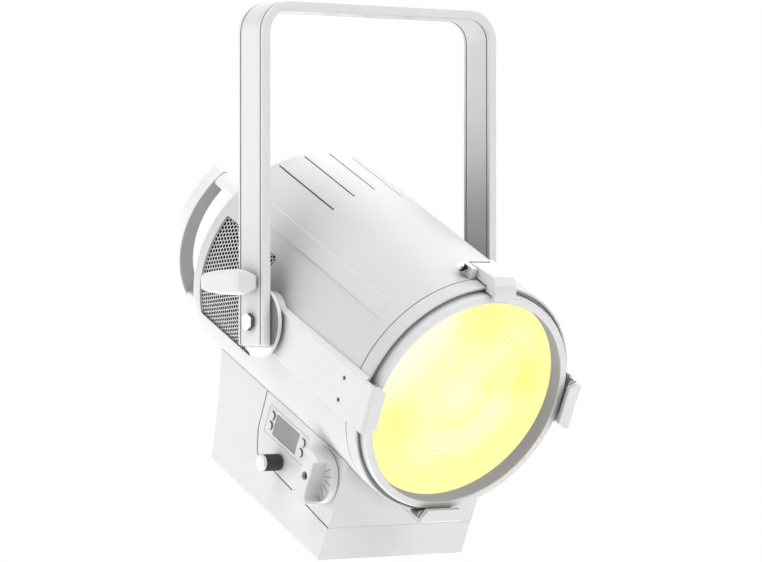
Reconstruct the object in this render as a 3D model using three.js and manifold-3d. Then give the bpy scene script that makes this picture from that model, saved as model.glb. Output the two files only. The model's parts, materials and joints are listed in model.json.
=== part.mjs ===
// Yoke-hung LED fresnel spotlight, modelled piece by piece at its hanging pose.
//
// Units are millimetres and +Z is up. The origin is on the top face of the yoke's crossbar, on the
// plane of symmetry. The nose points along -Y and dips below the horizon by TILT degrees.
// Everything below the crossbar is built about the tilt axis, which runs along X. The head has its own
// frame on that axis: Y runs along the tube towards its rear, Z points out of the top of the tube.
import * as THREE from "three";
import { mergeVertices } from "three/addons/utils/BufferGeometryUtils.js";
import Module from "manifold-3d";

// ---------------------------------------------------------------- driving dimensions

const TILT = 25.72; // how far the nose dips below the horizon, degrees
const GAP = 0.3; // clearance between pieces that rest on each other
const THROUGH = 6; // how far a cutter runs past the face that it opens

const YOKE = {
  width: 272,
  thickness: 8.8,
  depth: 41.6,
  height: 297.9, // tilt axis to hang face
  below: 21.8, // tilt axis to the end of an arm
  cornerRadius: 30,
  grooveInset: 3.9,
  grooveWidth: 1.2,
  grooveDepth: 0.8,
  hangHoleRadius: 7,
  hangHolePitch: 45,
  pinHoleRadius: 2.5,
  pinHoleOffset: 14,
  panOffset: 12, // hang holes' line behind the origin
};
const BOLT = { radius: 5, headFlats: 14, headHeight: 4.5, tip: 107, bore: 5.6 };
const DISC = { radius: 33, hubRadius: 22, outer: 126.9, inner: 122.9, hubInner: 120 };
const CLAMP = {
  height: 37,
  studRadius: 3,
  bore: 3.4,
  tip: 149.9,
  shoe: [120.1, 122.6],
  shoeHalf: 9,
  shoeBelow: 10,
  shoeAbove: 6,
};
// The lever's sections along y: its reach out from the middle plane and its half height at both faces.
const LEVER = [
  { y: -13, inner: 136.6, outer: 156.6, innerHalf: 6, outerHalf: 10.8 },
  { y: -4, inner: 136.4, outer: 157.4, innerHalf: 8, outerHalf: 11.6 },
  { y: 10, inner: 136.4, outer: 157.6, innerHalf: 9, outerHalf: 11.6 },
  { y: 20, inner: 138.4, outer: 157.4, innerHalf: 9, outerHalf: 11.2 },
  { y: 30, inner: 143, outer: 157, innerHalf: 8.8, outerHalf: 10.6 },
  { y: 46, inner: 146, outer: 156, innerHalf: 7.2, outerHalf: 8.6 },
  { y: 57.5, inner: 148, outer: 154.6, innerHalf: 5, outerHalf: 6.4 },
];
const BELLY = { at: 0.6, proud: 0.3 }; // where the lever's upper and lower faces bulge, and how far

const TUBE = { radius: 115.5, seat: 115.9, wall: 2, rear: 133, seam: -145.7, slotWidth: 1.8, slotRear: 130 };
const SLOTS = [
  { angle: 62, front: 29 },
  { angle: 76, front: 38 },
  { angle: 90, front: 46 },
  { angle: 104, front: 38 },
  { angle: 118, front: 29 },
];
const STRIP = { from: 135, to: 144.5, proud: 1.5, rear: 126, front: -126, toe: -130 };
const WINDOW = { front: 30.4, rear: 123.5, halfHeight: 52 };
const WELL = { half: 60, front: -115, rear: 88, low: -125, high: -80 }; // opening in the tube over the base
const MESH = { outer: 112.8, thickness: 1.2, front: 27.4, rear: 125.4, halfAngle: 30 };

const RAIL = {
  face: 119.7,
  deep: 108,
  bossRadius: 28,
  halfRear: 21,
  halfFront: 23,
  draft: 4.5, // how much higher the bar is at its root than at its face
  socketRadius: 12,
  socketEnd: 104,
  screwY: -136,
  screwZ: 11,
  screwRadius: 1.9,
  screwSunk: 0.9,
  screwEnd: 111,
};
// A gel-frame clip: a wall that runs past the lens rim and turns in as a lip, with one divider.
const CLIP = {
  back: -163.7,
  lipBack: -177.5,
  front: -182,
  channel: 115.2,
  face: 119.7,
  reach: 104.8,
  halfWidth: 23,
  lipHalf: 17.5,
  taperFrom: 112,
  divider: [-174.8, -173.6],
  dividerReach: 109,
  chamfer: 2.5,
};
const LATCH = {
  halfWidth: 12,
  heel: 116.2, // underside over the bezel
  bracketHalf: 18,
  bracketRear: -126,
  bracketFront: -146,
  bracketTop: 124.5,
  bracketRoot: 104,
  bracketWall: 3.5,
  floor: 118.2,
  pinY: -135,
  pinZ: 122,
  pinRadius: 2,
  pinProud: 3,
  ballRadius: 4.6,
  knuckle: 3.5,
  lipBack: -174.9,
  reach: 107.8,
};
// The latch's back and nose from the side, as [y, z], from behind the bezel down to the lip's tip.
const LATCH_BACK = [
  [-168.5, 128],
  [-176.4, 122.2],
  [-178.9, 115],
  [-179.4, LATCH.reach],
];

const BEZEL = {
  front: -163,
  edge: 114.3,
  chamfer: 2.5,
  lip: 113.2,
  ledge: -156,
  rimBore: 110.4,
  step: -147.2,
  spigot: 113.2,
  spigotEnd: -138,
  spigotWall: 5,
};
const RIM = { front: -171, inner: 102, outer: 110, pocket: 106, pocketFrom: -155.8, rear: -147.5 };
const LENS = { radius: 104, front: -155.4, rear: -149.5, rings: 4, relief: 1.1, retainer: 99 };

const CAP = {
  front: 133.3,
  rear: 137,
  radius: 115.3,
  bevel: 2,
  spigot: 113.2,
  spigotEnd: 126,
  wall: 5,
  boss: 9,
  bossDepth: 10,
};
const GRILLE = { radius: 47, slots: 6, pitch: 14, width: 8 };
const EYE = { footHalf: 17, footHeight: 8, foot: 3, z: 70, bow: 12, hole: 7.5, halfWidth: 2.5, web: 0.8 };
const HANDLE = { inner: 87, outer: 103, front: 185, rear: 203, from: 136, to: 225, post: 10 };

const BASE = { half: 83, wall: 3, front: -127, bottom: -185, top: -70 };
// Side view of the base, as [y, z]: the rear face leans back in two steps.
const REAR_FOOT = [75, -185];
const REAR_KNEE = [89.2, -126];
const REAR_TOP = [109.2, -70];
// The seam between the control housing and the chassis runs back along the side, then up to the tube.
const SEAM = [
  [-127, -150.5],
  [-75.5, -147.5],
  [7, -143],
  [15.5, -121],
  [17, -84],
  [17.4, -70],
];

const PLATE = { half: 60, halfHeight: 20, thickness: 2, openingHalf: 56, openingHeight: 15 };
const PORT = { rear: 6, recess: -4, front: -14 };
const PORTS = [
  { name: "power_inlet", finish: "inlet", x: -40, radius: 12, core: 9.6 },
  { name: "power_outlet", finish: "liner", x: -12, radius: 12, core: 9.6 },
  { name: "data_in", finish: "dark", x: 15, radius: 10, core: 8 },
  { name: "data_out", finish: "dark", x: 40, radius: 10, core: 8 },
];

const PANEL = { front: -65, rear: 5.5, bottom: -118, top: -90 };
const DISPLAY = { front: -49, rear: -8.6, bottom: -114.5, top: -93.5, sunk: 0.15 };
const BUTTON = { radius: 3.75, bore: 4.1, face: 84.8, back: 78.6, y: [-2, -57.5], z: [-98, -108.5] };
const ENCODER = {
  y: -30,
  z: -133,
  radius: 8,
  teeth: 20,
  toothDepth: 0.5,
  length: 22,
  cap: 3.5,
  stand: 0.8,
  shaftRadius: 3,
  shaftEnd: -76.5,
  bore: 3.4,
};
const DIAL = {
  lift: 0.5,
  y: -98.5,
  z: -110,
  radius: 26.6,
  proud: 6.7,
  gripProud: 20.5,
  gripHalf: 7.5,
  gripReach: 24,
  recess: 4.25,
  recessDepth: 6,
  screwSunk: 3,
  screwHead: 2.7,
  screwRadius: 2,
  screwEnd: 7,
  screwBore: 2.3,
  shaftRadius: 4,
  shaftLength: 6,
  shaftEnd: 17,
  bore: 4.4,
};
const POWER_SUPPLY = { x: [-30, 70], y: [-70, 30], top: -151.5 };
const CONTROL_BOARD = { x: [-76, -74.4], y: [-70, 8], z: [-141, -92] };

const GEAR = { teeth: 12, pitchRadius: 9, addendum: 1, dedendum: 1.3, half: 5 };
const ROD = { x: 72, z: -20, radius: 4, bore: 4.35, front: -115, rear: 128 };
const FRAME = {
  front: -116,
  rear: -112,
  inner: 85,
  outer: 112.8,
  lugInset: 8,
  lugEnd: 90,
  notch: [-120, -70],
};
const TRAVEL = 20; // the carriage moves this far each way
const CARRIAGE = {
  thickness: 5,
  half: 56,
  wing: 10,
  tongueHalf: 8,
  tongueRoot: -50,
  tongueEnd: -100,
  sleeveRadius: 8,
  sleeve: [-8, 16],
  lugHalf: 9,
};
const RACK = { thickness: 5, spare: 2 };
const BRACKET = {
  inner: 12,
  thickness: 2.5,
  footWidth: 18,
  foot: 2,
  low: -140,
  high: -118,
  crown: 7.5, // rise over the shaft
  crownHalf: 9.5,
  shoulder: 11.5,
  toe: 1.5,
};
const EMITTER = { radius: 27, front: -2.3, half: 12, face: -3.3 };
const CUP = { rear: -3.7, front: -42, throat: 21, mouth: 38.5, wall: 1.5, sides: 32 };
const SINK = { front: 5.3, base: 10, rear: 48, half: 50, fins: 9, fin: 2 };
const FAN = {
  half: 46,
  bore: 43,
  front: 100,
  rear: 124.7,
  arm: 3,
  armHalf: 2,
  hub: 17,
  spindle: 2,
  spindleBore: 2.3,
  spindlePlay: 0.5,
  overlap: 2, // how far blades and arms run into what carries them
  hubFront: 3,
  hubRear: 5,
  blade: 40,
  blades: 7,
  bladeHalf: 0.9,
  chordHalf: 11,
  pitch: 38,
};

const FINISHES = {
  paint: { color: 0xe6e7e9, roughness: 0.5, metalness: 0.05 },
  steel: { color: 0xc9cbcf, roughness: 0.3, metalness: 0.9 },
  chrome: { color: 0xe4e6ea, roughness: 0.12, metalness: 1 },
  alloy: { color: 0xa9acb1, roughness: 0.45, metalness: 0.8 },
  mesh: { color: 0xd6d7d9, roughness: 0.5, metalness: 0.2 },
  lens: { color: 0xffffb4, roughness: 0.08, metalness: 0 },
  liner: { color: 0xa39e9b, roughness: 0.6, metalness: 0 },
  rubber: { color: 0x1c1d1f, roughness: 0.85, metalness: 0 },
  plastic: { color: 0xe9e9ea, roughness: 0.4, metalness: 0 },
  dark: { color: 0x3a3b3e, roughness: 0.55, metalness: 0 },
  display: { color: 0x9b9b9b, roughness: 0.15, metalness: 0 },
  board: { color: 0x1f6b3d, roughness: 0.6, metalness: 0 },
  inlet: { color: 0x2a5fb0, roughness: 0.5, metalness: 0 },
  emitter: { color: 0xffe27a, roughness: 0.4, metalness: 0 },
  reflector: { color: 0xf2f2f0, roughness: 0.25, metalness: 0.3 },
};

// ---------------------------------------------------------------- solids

const wasm = await Module();
wasm.setup();

const WELD = 1e-4;
const LARGE = 60; // radius from which a round shape gets its finest facets
const radians = THREE.MathUtils.degToRad;

/** How many flats stand for a circle of this radius. */
function sidesFor(radius) {
  if (radius < 7) return 12;
  return radius < LARGE ? 24 : 40;
}

/** A closed geometry as a manifold solid, turned to face out if its outline ran the other way. */
function solid(shape) {
  if (!shape.isBufferGeometry) return shape;
  const bare = new THREE.BufferGeometry();
  bare.setAttribute("position", shape.getAttribute("position"));
  bare.setIndex(shape.index);
  const merged = mergeVertices(bare, WELD);
  const at = merged.getAttribute("position");
  const corners = [0, 1, 2].map(() => new THREE.Vector3());
  const triangles = [];
  let volume = 0;
  for (let i = 0; i < merged.index.count; i += 3) {
    const ids = [0, 1, 2].map((k) => merged.index.getX(i + k));
    if (new Set(ids).size < 3) continue;
    ids.forEach((id, k) => corners[k].fromBufferAttribute(at, id));
    volume += corners[0].dot(corners[1].clone().cross(corners[2]));
    triangles.push(ids);
  }
  const facing = volume < 0 ? triangles.map(([a, b, c]) => [a, c, b]) : triangles;
  return new wasm.Manifold(
    new wasm.Mesh({
      numProp: 3,
      vertProperties: new Float32Array(at.array),
      triVerts: new Uint32Array(facing.flat()),
    }),
  );
}

const join = (first, ...others) => others.reduce((sum, other) => sum.add(solid(other)), solid(first));
const cut = (first, ...others) => others.reduce((rest, other) => rest.subtract(solid(other)), solid(first));
const common = (first, second) => solid(first).intersect(solid(second));

/** A manifold solid or a geometry as a flat-shaded three.js geometry. */
function geometryOf(shape) {
  const mesh = solid(shape).getMesh();
  const geometry = new THREE.BufferGeometry();
  geometry.setAttribute("position", new THREE.BufferAttribute(new Float32Array(mesh.vertProperties), 3));
  geometry.setIndex(new THREE.BufferAttribute(new Uint32Array(mesh.triVerts), 1));
  const flat = geometry.toNonIndexed();
  flat.computeVertexNormals();
  return flat;
}

/** A box between two values on each axis, in either order. */
function box(x, y, z) {
  const spans = [x, y, z];
  const size = spans.map(([a, b]) => Math.abs(b - a));
  const middle = spans.map(([a, b]) => (a + b) / 2);
  return new THREE.BoxGeometry(...size).translate(...middle);
}

/** A cylinder along an axis; across holds its two other coordinates in X, Y, Z order. */
function cylinder(axis, radius, [from, to], across = [0, 0], sides = sidesFor(radius)) {
  const bar = new THREE.CylinderGeometry(radius, radius, Math.abs(to - from), sides);
  const middle = (from + to) / 2;
  if (axis === "x") return bar.rotateZ(Math.PI / 2).translate(middle, across[0], across[1]);
  if (axis === "y") return bar.translate(across[0], middle, across[1]);
  return bar.rotateX(Math.PI / 2).translate(across[0], across[1], middle);
}

/** An outline in the plane across an axis, run along that axis; its points are in X, Y, Z order. */
function prism(axis, outline, [from, to]) {
  const low = Math.min(from, to);
  const shape = new THREE.Shape(outline.map(([u, v]) => new THREE.Vector2(u, v)));
  const bar = new THREE.ExtrudeGeometry(shape, { depth: Math.abs(to - from), bevelEnabled: false });
  const unit = {
    x: new THREE.Vector3(1, 0, 0),
    y: new THREE.Vector3(0, 1, 0),
    z: new THREE.Vector3(0, 0, 1),
  };
  const turn = new THREE.Matrix4();
  if (axis === "x") turn.makeBasis(unit.y, unit.z, unit.x);
  if (axis === "y") turn.makeBasis(unit.x, unit.z, unit.y);
  return bar.applyMatrix4(turn).translate(...unit[axis].multiplyScalar(low).toArray());
}

/** A profile of [radius, y] turned about the Y axis. A ring's profile closes on itself. */
function turned(profile, sides = sidesFor(LARGE)) {
  const points = profile.map(([radius, y]) => new THREE.Vector2(radius, y));
  const open = points[0].x === 0 && points[points.length - 1].x === 0;
  return new THREE.LatheGeometry(open ? points : [...points, points[0]], sides);
}

/** Points on an arc, in degrees from the first axis towards the second. */
function arc(centre, radius, from, to, steps) {
  return Array.from({ length: steps + 1 }, (_, i) => {
    const angle = radians(from + ((to - from) * i) / steps);
    return [centre[0] + radius * Math.cos(angle), centre[1] + radius * Math.sin(angle)];
  });
}

/** The outline of a part of a flat ring. */
const sector = (inner, outer, from, to, steps) => [
  ...arc([0, 0], outer, from, to, steps),
  ...arc([0, 0], inner, to, from, steps),
];

/** A skin over sections of equal length, with flat convex ends. */
function loft(sections) {
  const count = sections[0].length;
  const index = [];
  for (let s = 0; s + 1 < sections.length; s += 1) {
    for (let i = 0; i < count; i += 1) {
      const a = s * count + i;
      const b = s * count + ((i + 1) % count);
      index.push(a, b, a + count, b, b + count, a + count);
    }
  }
  const last = (sections.length - 1) * count;
  for (let i = 1; i + 1 < count; i += 1) {
    index.push(0, i + 1, i, last, last + i, last + i + 1);
  }
  const geometry = new THREE.BufferGeometry();
  geometry.setAttribute("position", new THREE.Float32BufferAttribute(sections.flat(2), 3));
  geometry.setIndex(index);
  return geometry;
}

const across = (value) => [-value, value];
const mirrored = (shape) => solid(shape).mirror([1, 0, 0]);

/** A named mesh with its own material, put in a group. */
function add(group, name, finish, shape) {
  const mesh = new THREE.Mesh(geometryOf(shape), new THREE.MeshStandardMaterial(FINISHES[finish]));
  mesh.name = name;
  group.add(mesh);
}

// ---------------------------------------------------------------- groups

const spotlight = new THREE.Group();
const axis = new THREE.Group(); // everything measured from the middle of the tilt axis
axis.position.set(0, YOKE.panOffset, -YOKE.height);
spotlight.add(axis);
const head = new THREE.Group();
head.rotation.x = radians(TILT);
axis.add(head);

// ---------------------------------------------------------------- yoke and tilt lock

/** A strip that follows the yoke's outer face, between two distances outside it. */
function yokeStrip(outside, inside) {
  const half = YOKE.width / 2;
  const centre = [half - YOKE.cornerRadius, YOKE.height - YOKE.cornerRadius];
  const end = -YOKE.below;
  const side = (outset) => arc(centre, YOKE.cornerRadius + outset, 0, 90, 6);
  const line = (outset) => {
    const right = [[half + outset, end], ...side(outset)];
    const left = right.map(([x, z]) => [-x, z]).reverse();
    return [...right, ...left];
  };
  return [...line(outside), ...line(inside).reverse()];
}

function yokeFrame() {
  const { thickness, depth, grooveDepth, grooveInset, grooveWidth } = YOKE;
  const edge = depth / 2 - grooveInset;
  const grooves = [edge, -edge + grooveWidth].flatMap((y) => [
    prism("y", yokeStrip(1, -grooveDepth), [y - grooveWidth, y]),
    prism("y", yokeStrip(grooveDepth - thickness, -thickness - 1), [y - grooveWidth, y]),
  ]);
  const top = [YOKE.height - thickness - THROUGH, YOKE.height + THROUGH];
  const { hangHoleRadius, hangHolePitch, pinHoleRadius, pinHoleOffset } = YOKE;
  const hangHoles = [-1, 0, 1].map((i) => cylinder("z", hangHoleRadius, top, [i * hangHolePitch, 0], 20));
  const pinHoles = [-1, 1].map((i) => cylinder("z", pinHoleRadius, top, [i * pinHoleOffset, 0]));
  const outer = YOKE.width / 2 + THROUGH;
  const boltBore = cylinder("x", BOLT.bore, across(outer), [0, 0], 20);
  const studBore = cylinder("x", CLAMP.bore, [-outer, -outer / 2], [0, CLAMP.height]);
  const bar = prism("y", yokeStrip(0, -thickness), across(depth / 2));
  return cut(bar, ...grooves, ...hangHoles, ...pinHoles, boltBore, studBore);
}

/** The stud that draws the clamp shoe against the back of the left friction disc. */
function clampStud() {
  const [near, far] = CLAMP.shoe;
  const { height, shoeHalf, shoeBelow, shoeAbove, studRadius, tip } = CLAMP;
  const shoe = box([-near, -far], across(shoeHalf), [height - shoeBelow, height + shoeAbove]);
  return join(shoe, cylinder("x", studRadius, [-near - 1, -tip], [0, height]));
}

/** The tilt-lock lever: a hub over the stud that sweeps back into a tapered grip. */
function lockLever() {
  const sections = LEVER.map(({ y, inner, outer, innerHalf, outerHalf }) => {
    const belly = inner + (outer - inner) * BELLY.at;
    const top = [
      [-outer, y, outerHalf],
      [-belly, y, outerHalf + BELLY.proud],
      [-inner, y, innerHalf],
    ];
    const bottom = top.map(([x, , z]) => [x, y, -z]).reverse();
    return [...top, ...bottom].map(([x, , z]) => [x, y, z + CLAMP.height]);
  });
  const bore = cylinder("x", CLAMP.bore, [-130, -CLAMP.tip - GAP], [0, CLAMP.height]);
  return cut(loft(sections), bore);
}

/** The left bolt: an upright hexagon head outside the arm and a shank into the rail's socket. */
function tiltBolt() {
  const arm = YOKE.width / 2 + GAP;
  const corner = BOLT.headFlats / 2 / Math.cos(Math.PI / 6);
  const hexagon = cylinder("x", corner, [-arm, -arm - BOLT.headHeight], [0, 0], 6).rotateX(-radians(TILT));
  return join(hexagon, cylinder("x", BOLT.radius, [-arm - 1, -BOLT.tip], [0, 0], 24));
}

/** The left friction disc: it turns with the head and rubs on the inside of the yoke's arm. */
function frictionDisc() {
  const plate = cylinder("x", DISC.radius, [-DISC.outer, -DISC.inner], [0, 0], 28);
  const hub = cylinder("x", DISC.hubRadius, [-DISC.inner - 1, -DISC.hubInner]);
  const bore = cylinder("x", BOLT.radius + GAP, [-DISC.outer - 1, -DISC.hubInner + 1], [0, 0], 24);
  return cut(join(plate, hub), bore);
}

add(axis, "yoke_frame", "paint", yokeFrame());
add(axis, "clamp_stud", "steel", clampStud());
add(axis, "lock_lever", "paint", lockLever());
add(head, "tilt_bolt_left", "steel", tiltBolt());
add(head, "tilt_bolt_right", "steel", mirrored(tiltBolt()));
add(head, "friction_disc_left", "dark", frictionDisc());
add(head, "friction_disc_right", "dark", mirrored(frictionDisc()));

// ---------------------------------------------------------------- tube

const tubeSpan = [TUBE.seam - 2 * THROUGH, TUBE.rear + 2 * THROUGH];

/** What the tube and its clearance take out of a piece that sits on its outside. */
const tubeSeat = (span = tubeSpan) => cylinder("y", TUBE.seat, span);

function tubeShell() {
  const inner = TUBE.radius - TUBE.wall;
  const ends = [TUBE.seam, TUBE.rear];
  const skin = turned([
    [inner, ends[0]],
    [TUBE.radius, ends[0]],
    [TUBE.radius, ends[1]],
    [inner, ends[1]],
  ]);
  const strips = [1, -1].map((side) => {
    const crest = arc([0, 0], TUBE.radius + STRIP.proud, STRIP.from, STRIP.to, 2);
    const foot = arc([0, 0], inner + 1, STRIP.to, STRIP.from, 2);
    const section = (crestY, footY) => [
      ...crest.map(([x, z]) => [side * x, crestY, z]),
      ...foot.map(([x, z]) => [side * x, footY, z]),
    ];
    return loft([section(STRIP.front, STRIP.toe), section(STRIP.rear, STRIP.rear)]);
  });
  const slotHalf = across(TUBE.slotWidth / 2);
  const depths = [inner - THROUGH, TUBE.radius + THROUGH];
  const slots = SLOTS.map(({ angle, front }) =>
    box(depths, [front, TUBE.slotRear], slotHalf).rotateY(-radians(angle)),
  );
  const windows = [-1, 1].map((side) =>
    box([0, side * depths[1]], [WINDOW.front, WINDOW.rear], across(WINDOW.halfHeight)),
  );
  const socket = cylinder("x", RAIL.socketRadius + GAP, across(depths[1]));
  const screwHoles = [-1, 1].map((sign) =>
    cylinder("x", RAIL.screwRadius + GAP, across(depths[1]), [RAIL.screwY, sign * RAIL.screwZ]),
  );
  const well = box(across(WELL.half), [WELL.front, WELL.rear], [WELL.low, WELL.high]);
  return cut(join(skin, ...strips), ...slots, ...windows, socket, ...screwHoles, well);
}

/** The left perforated panel, behind the window in the tube's side. */
function sideMesh() {
  const { outer, thickness, halfAngle } = MESH;
  const outline = sector(outer - thickness, outer, 180 - halfAngle, 180 + halfAngle, 10);
  return prism("y", outline, [MESH.front, MESH.rear]);
}

/** A gel-frame clip on the +X side, as wide as the clips at the sides of the lens. */
function gelClip() {
  const { back, lipBack, front, channel, face, reach, divider, dividerReach, chamfer } = CLIP;
  const side = [
    [channel, back],
    [face, back],
    [face, front + 2 * chamfer],
    [face - chamfer, front],
    [reach, front],
    [reach, lipBack],
    [channel, lipBack],
    [channel, divider[0]],
    [dividerReach, divider[0]],
    [dividerReach, divider[1]],
    [channel, divider[1]],
  ];
  const { halfWidth, lipHalf, taperFrom } = CLIP;
  const facing = [
    [face + 1, -halfWidth],
    [face + 1, halfWidth],
    [taperFrom, halfWidth],
    [reach - 1, lipHalf],
    [reach - 1, -lipHalf],
    [taperFrom, -halfWidth],
  ];
  return common(prism("z", side, across(halfWidth)), prism("y", facing, [back, front - 1]));
}

/** What a clip's carrier loses in front of the bezel, from a distance off the tube's axis. */
function clipNose(from) {
  return box([from, CLIP.channel], [CLIP.back - THROUGH, CLIP.back], across(CLIP.halfWidth + RAIL.draft));
}

/** The right side rail: a boss on the tilt axis, a bar with drafted edges along the tube and a nose clip. */
function sideRail() {
  const { bossRadius, halfRear, halfFront, draft } = RAIL;
  const section = (x, grow) => [
    [x, 0, halfRear + grow],
    [x, CLIP.back - 1, halfFront + grow],
    [x, CLIP.back - 1, -halfFront - grow],
    [x, 0, -halfRear - grow],
  ];
  const blank = loft([section(RAIL.deep, draft), section(RAIL.face, 0)]);
  const boss = cylinder("x", bossRadius, [RAIL.deep, RAIL.face], [0, 0], 28);
  const bar = cut(join(boss, blank), tubeSeat([CLIP.back, tubeSpan[1]]));
  const nose = clipNose(RAIL.deep);
  const socket = cylinder("x", RAIL.socketRadius, [RAIL.socketEnd, RAIL.face - 1]);
  const bore = cylinder("x", BOLT.radius + GAP, [BOLT.tip - 1, RAIL.face + 1], [0, 0], 24);
  const hole = [RAIL.deep - 1, RAIL.face + 1];
  const screwHoles = [-1, 1].map((sign) =>
    cylinder("x", RAIL.screwRadius + GAP, hole, [RAIL.screwY, sign * RAIL.screwZ]),
  );
  return cut(join(cut(bar, nose), socket, gelClip()), bore, ...screwHoles);
}

/** The lower clip: the same clip turned under the lens, on a foot that is seated on the tube. */
function bottomClip() {
  const foot = box([RAIL.deep, CLIP.face], [CLIP.back - 1, BASE.front - 1], across(CLIP.halfWidth));
  const seated = cut(foot, tubeSeat([CLIP.back, tubeSpan[1]]));
  const nose = clipNose(RAIL.deep - 1);
  return join(cut(seated, nose), gelClip()).rotate([0, 90, 0]);
}

/** A button-headed screw that holds a rail to the tube, on the +X side. */
function railScrew(z) {
  return cylinder("x", RAIL.screwRadius, [RAIL.face - RAIL.screwSunk, RAIL.screwEnd], [RAIL.screwY, z]);
}

add(head, "tube_shell", "paint", tubeShell());
add(head, "side_mesh_left", "mesh", sideMesh());
add(head, "side_mesh_right", "mesh", mirrored(sideMesh()));
add(head, "side_rail_right", "paint", sideRail());
add(head, "side_rail_left", "paint", mirrored(sideRail()));
add(head, "rail_screw_right_upper", "steel", railScrew(RAIL.screwZ));
add(head, "rail_screw_right_lower", "steel", railScrew(-RAIL.screwZ));
add(head, "rail_screw_left_upper", "steel", mirrored(railScrew(RAIL.screwZ)));
add(head, "rail_screw_left_lower", "steel", mirrored(railScrew(-RAIL.screwZ)));
add(head, "bottom_clip", "paint", bottomClip());

// ---------------------------------------------------------------- top latch

/** The U-shaped bracket on top of the tube that carries the latch's pin. */
function latchBracket() {
  const { bracketHalf, bracketRear, bracketFront, bracketRoot, bracketTop, bracketWall } = LATCH;
  const block = box(across(bracketHalf), [bracketRear, bracketFront], [bracketRoot, bracketTop]);
  const pocket = box(
    across(LATCH.halfWidth + GAP),
    [bracketRear - bracketWall, bracketFront - 1],
    [LATCH.floor, bracketTop + 1],
  );
  const bore = cylinder("x", LATCH.pinRadius + GAP, across(bracketHalf + 1), [LATCH.pinY, LATCH.pinZ]);
  return cut(block, tubeSeat(), pocket, bore);
}

/** The latch: a bar over the bezel that turns down in front of the lens rim to keep a gel frame in. */
function topLatch() {
  const { knuckle, lipBack, bracketFront, heel } = LATCH;
  const under = LATCH.floor + GAP;
  const outline = [
    ...arc([LATCH.pinY, LATCH.pinZ], knuckle, -90, 90, 8),
    ...LATCH_BACK,
    [lipBack, LATCH.reach],
    [lipBack, RIM.outer + 1],
    [CLIP.back, RIM.outer + 1],
    [CLIP.back, heel],
    [bracketFront - 1, heel],
    [bracketFront - 1, under],
  ];
  const bore = cylinder("x", LATCH.pinRadius + GAP, across(LATCH.halfWidth + 1), [LATCH.pinY, LATCH.pinZ]);
  return cut(prism("x", outline, across(LATCH.halfWidth)), bore);
}

function latchPin() {
  const at = [LATCH.pinY, LATCH.pinZ];
  const ends = [-LATCH.bracketHalf - LATCH.pinProud, LATCH.bracketHalf + 1];
  const pin = cylinder("x", LATCH.pinRadius, ends, at);
  const ball = new THREE.SphereGeometry(LATCH.ballRadius, 12, 8);
  return join(pin, ball.translate(-LATCH.bracketHalf - LATCH.ballRadius - GAP, ...at));
}

add(head, "latch_bracket", "paint", latchBracket());
add(head, "top_latch", "paint", topLatch());
add(head, "latch_pin", "chrome", latchPin());

// ---------------------------------------------------------------- front optics

/** The bezel: a thin lip round a deep gap, then a bore that holds the rim, then a spigot in the tube. */
function frontBezel() {
  const { front, edge, chamfer, lip, ledge, rimBore, step, spigot, spigotEnd, spigotWall } = BEZEL;
  const back = TUBE.seam - GAP;
  return turned([
    [lip, front],
    [edge, front],
    [TUBE.radius, front + chamfer],
    [TUBE.radius, back],
    [spigot, back],
    [spigot, spigotEnd],
    [spigot - spigotWall, spigotEnd],
    [spigot - spigotWall, step],
    [rimBore, step],
    [rimBore, ledge],
    [lip, ledge],
  ]);
}

function lensRim() {
  return turned([
    [RIM.inner, RIM.front],
    [RIM.outer, RIM.front],
    [RIM.outer, RIM.rear],
    [RIM.pocket, RIM.rear],
    [RIM.pocket, RIM.pocketFrom],
    [RIM.inner, RIM.pocketFrom],
  ]);
}

/** The stepped lens: a flat back, and concentric prism rings round a low central dome in front. */
function fresnelLens() {
  const pitch = LENS.radius / (LENS.rings + 1);
  const front = [[0, LENS.front]];
  for (let ring = 1; ring <= LENS.rings; ring += 1) {
    front.push([ring * pitch, LENS.front + LENS.relief], [ring * pitch + 1, LENS.front]);
  }
  const edge = [LENS.radius, LENS.front + LENS.relief];
  return turned([...front, edge, [LENS.radius, LENS.rear], [0, LENS.rear]]);
}

const ring = (inner, outer, front, rear) =>
  turned([
    [inner, front],
    [outer, front],
    [outer, rear],
    [inner, rear],
  ]);

add(head, "front_bezel", "paint", frontBezel());
add(head, "lens_rim", "liner", lensRim());
add(head, "lens_gasket", "rubber", ring(LENS.radius + GAP, RIM.pocket - GAP, LENS.front, LENS.rear));
add(head, "fresnel_lens", "lens", fresnelLens());
add(head, "lens_retaining_ring", "alloy", ring(LENS.retainer, RIM.pocket - GAP, LENS.rear + GAP, RIM.rear));

// ---------------------------------------------------------------- rear

function rearCap() {
  const { front, rear, radius, bevel, spigot, spigotEnd, wall, boss, bossDepth } = CAP;
  const dish = turned([
    [0, front],
    [spigot - wall, front],
    [spigot - wall, spigotEnd],
    [spigot, spigotEnd],
    [spigot, front],
    [radius, front],
    [radius - bevel, rear],
    [0, rear],
  ]);
  const slots = Array.from({ length: GRILLE.slots }, (_, i) => {
    const z = (i - (GRILLE.slots - 1) / 2) * GRILLE.pitch;
    const half = Math.sqrt(GRILLE.radius ** 2 - z ** 2);
    return box(across(half), [front - 1, rear + 1], [z - GRILLE.width / 2, z + GRILLE.width / 2]);
  });
  const bossFront = ROD.rear - bossDepth;
  const bosses = [-1, 1].map((side) =>
    cylinder("y", boss, [bossFront, front + 1], [side * ROD.x, ROD.z], 16),
  );
  const seats = [-1, 1].map((side) =>
    cylinder("y", ROD.bore, [bossFront - 1, ROD.rear + GAP], [side * ROD.x, ROD.z]),
  );
  return cut(join(dish, ...bosses), ...slots, ...seats);
}

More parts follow.
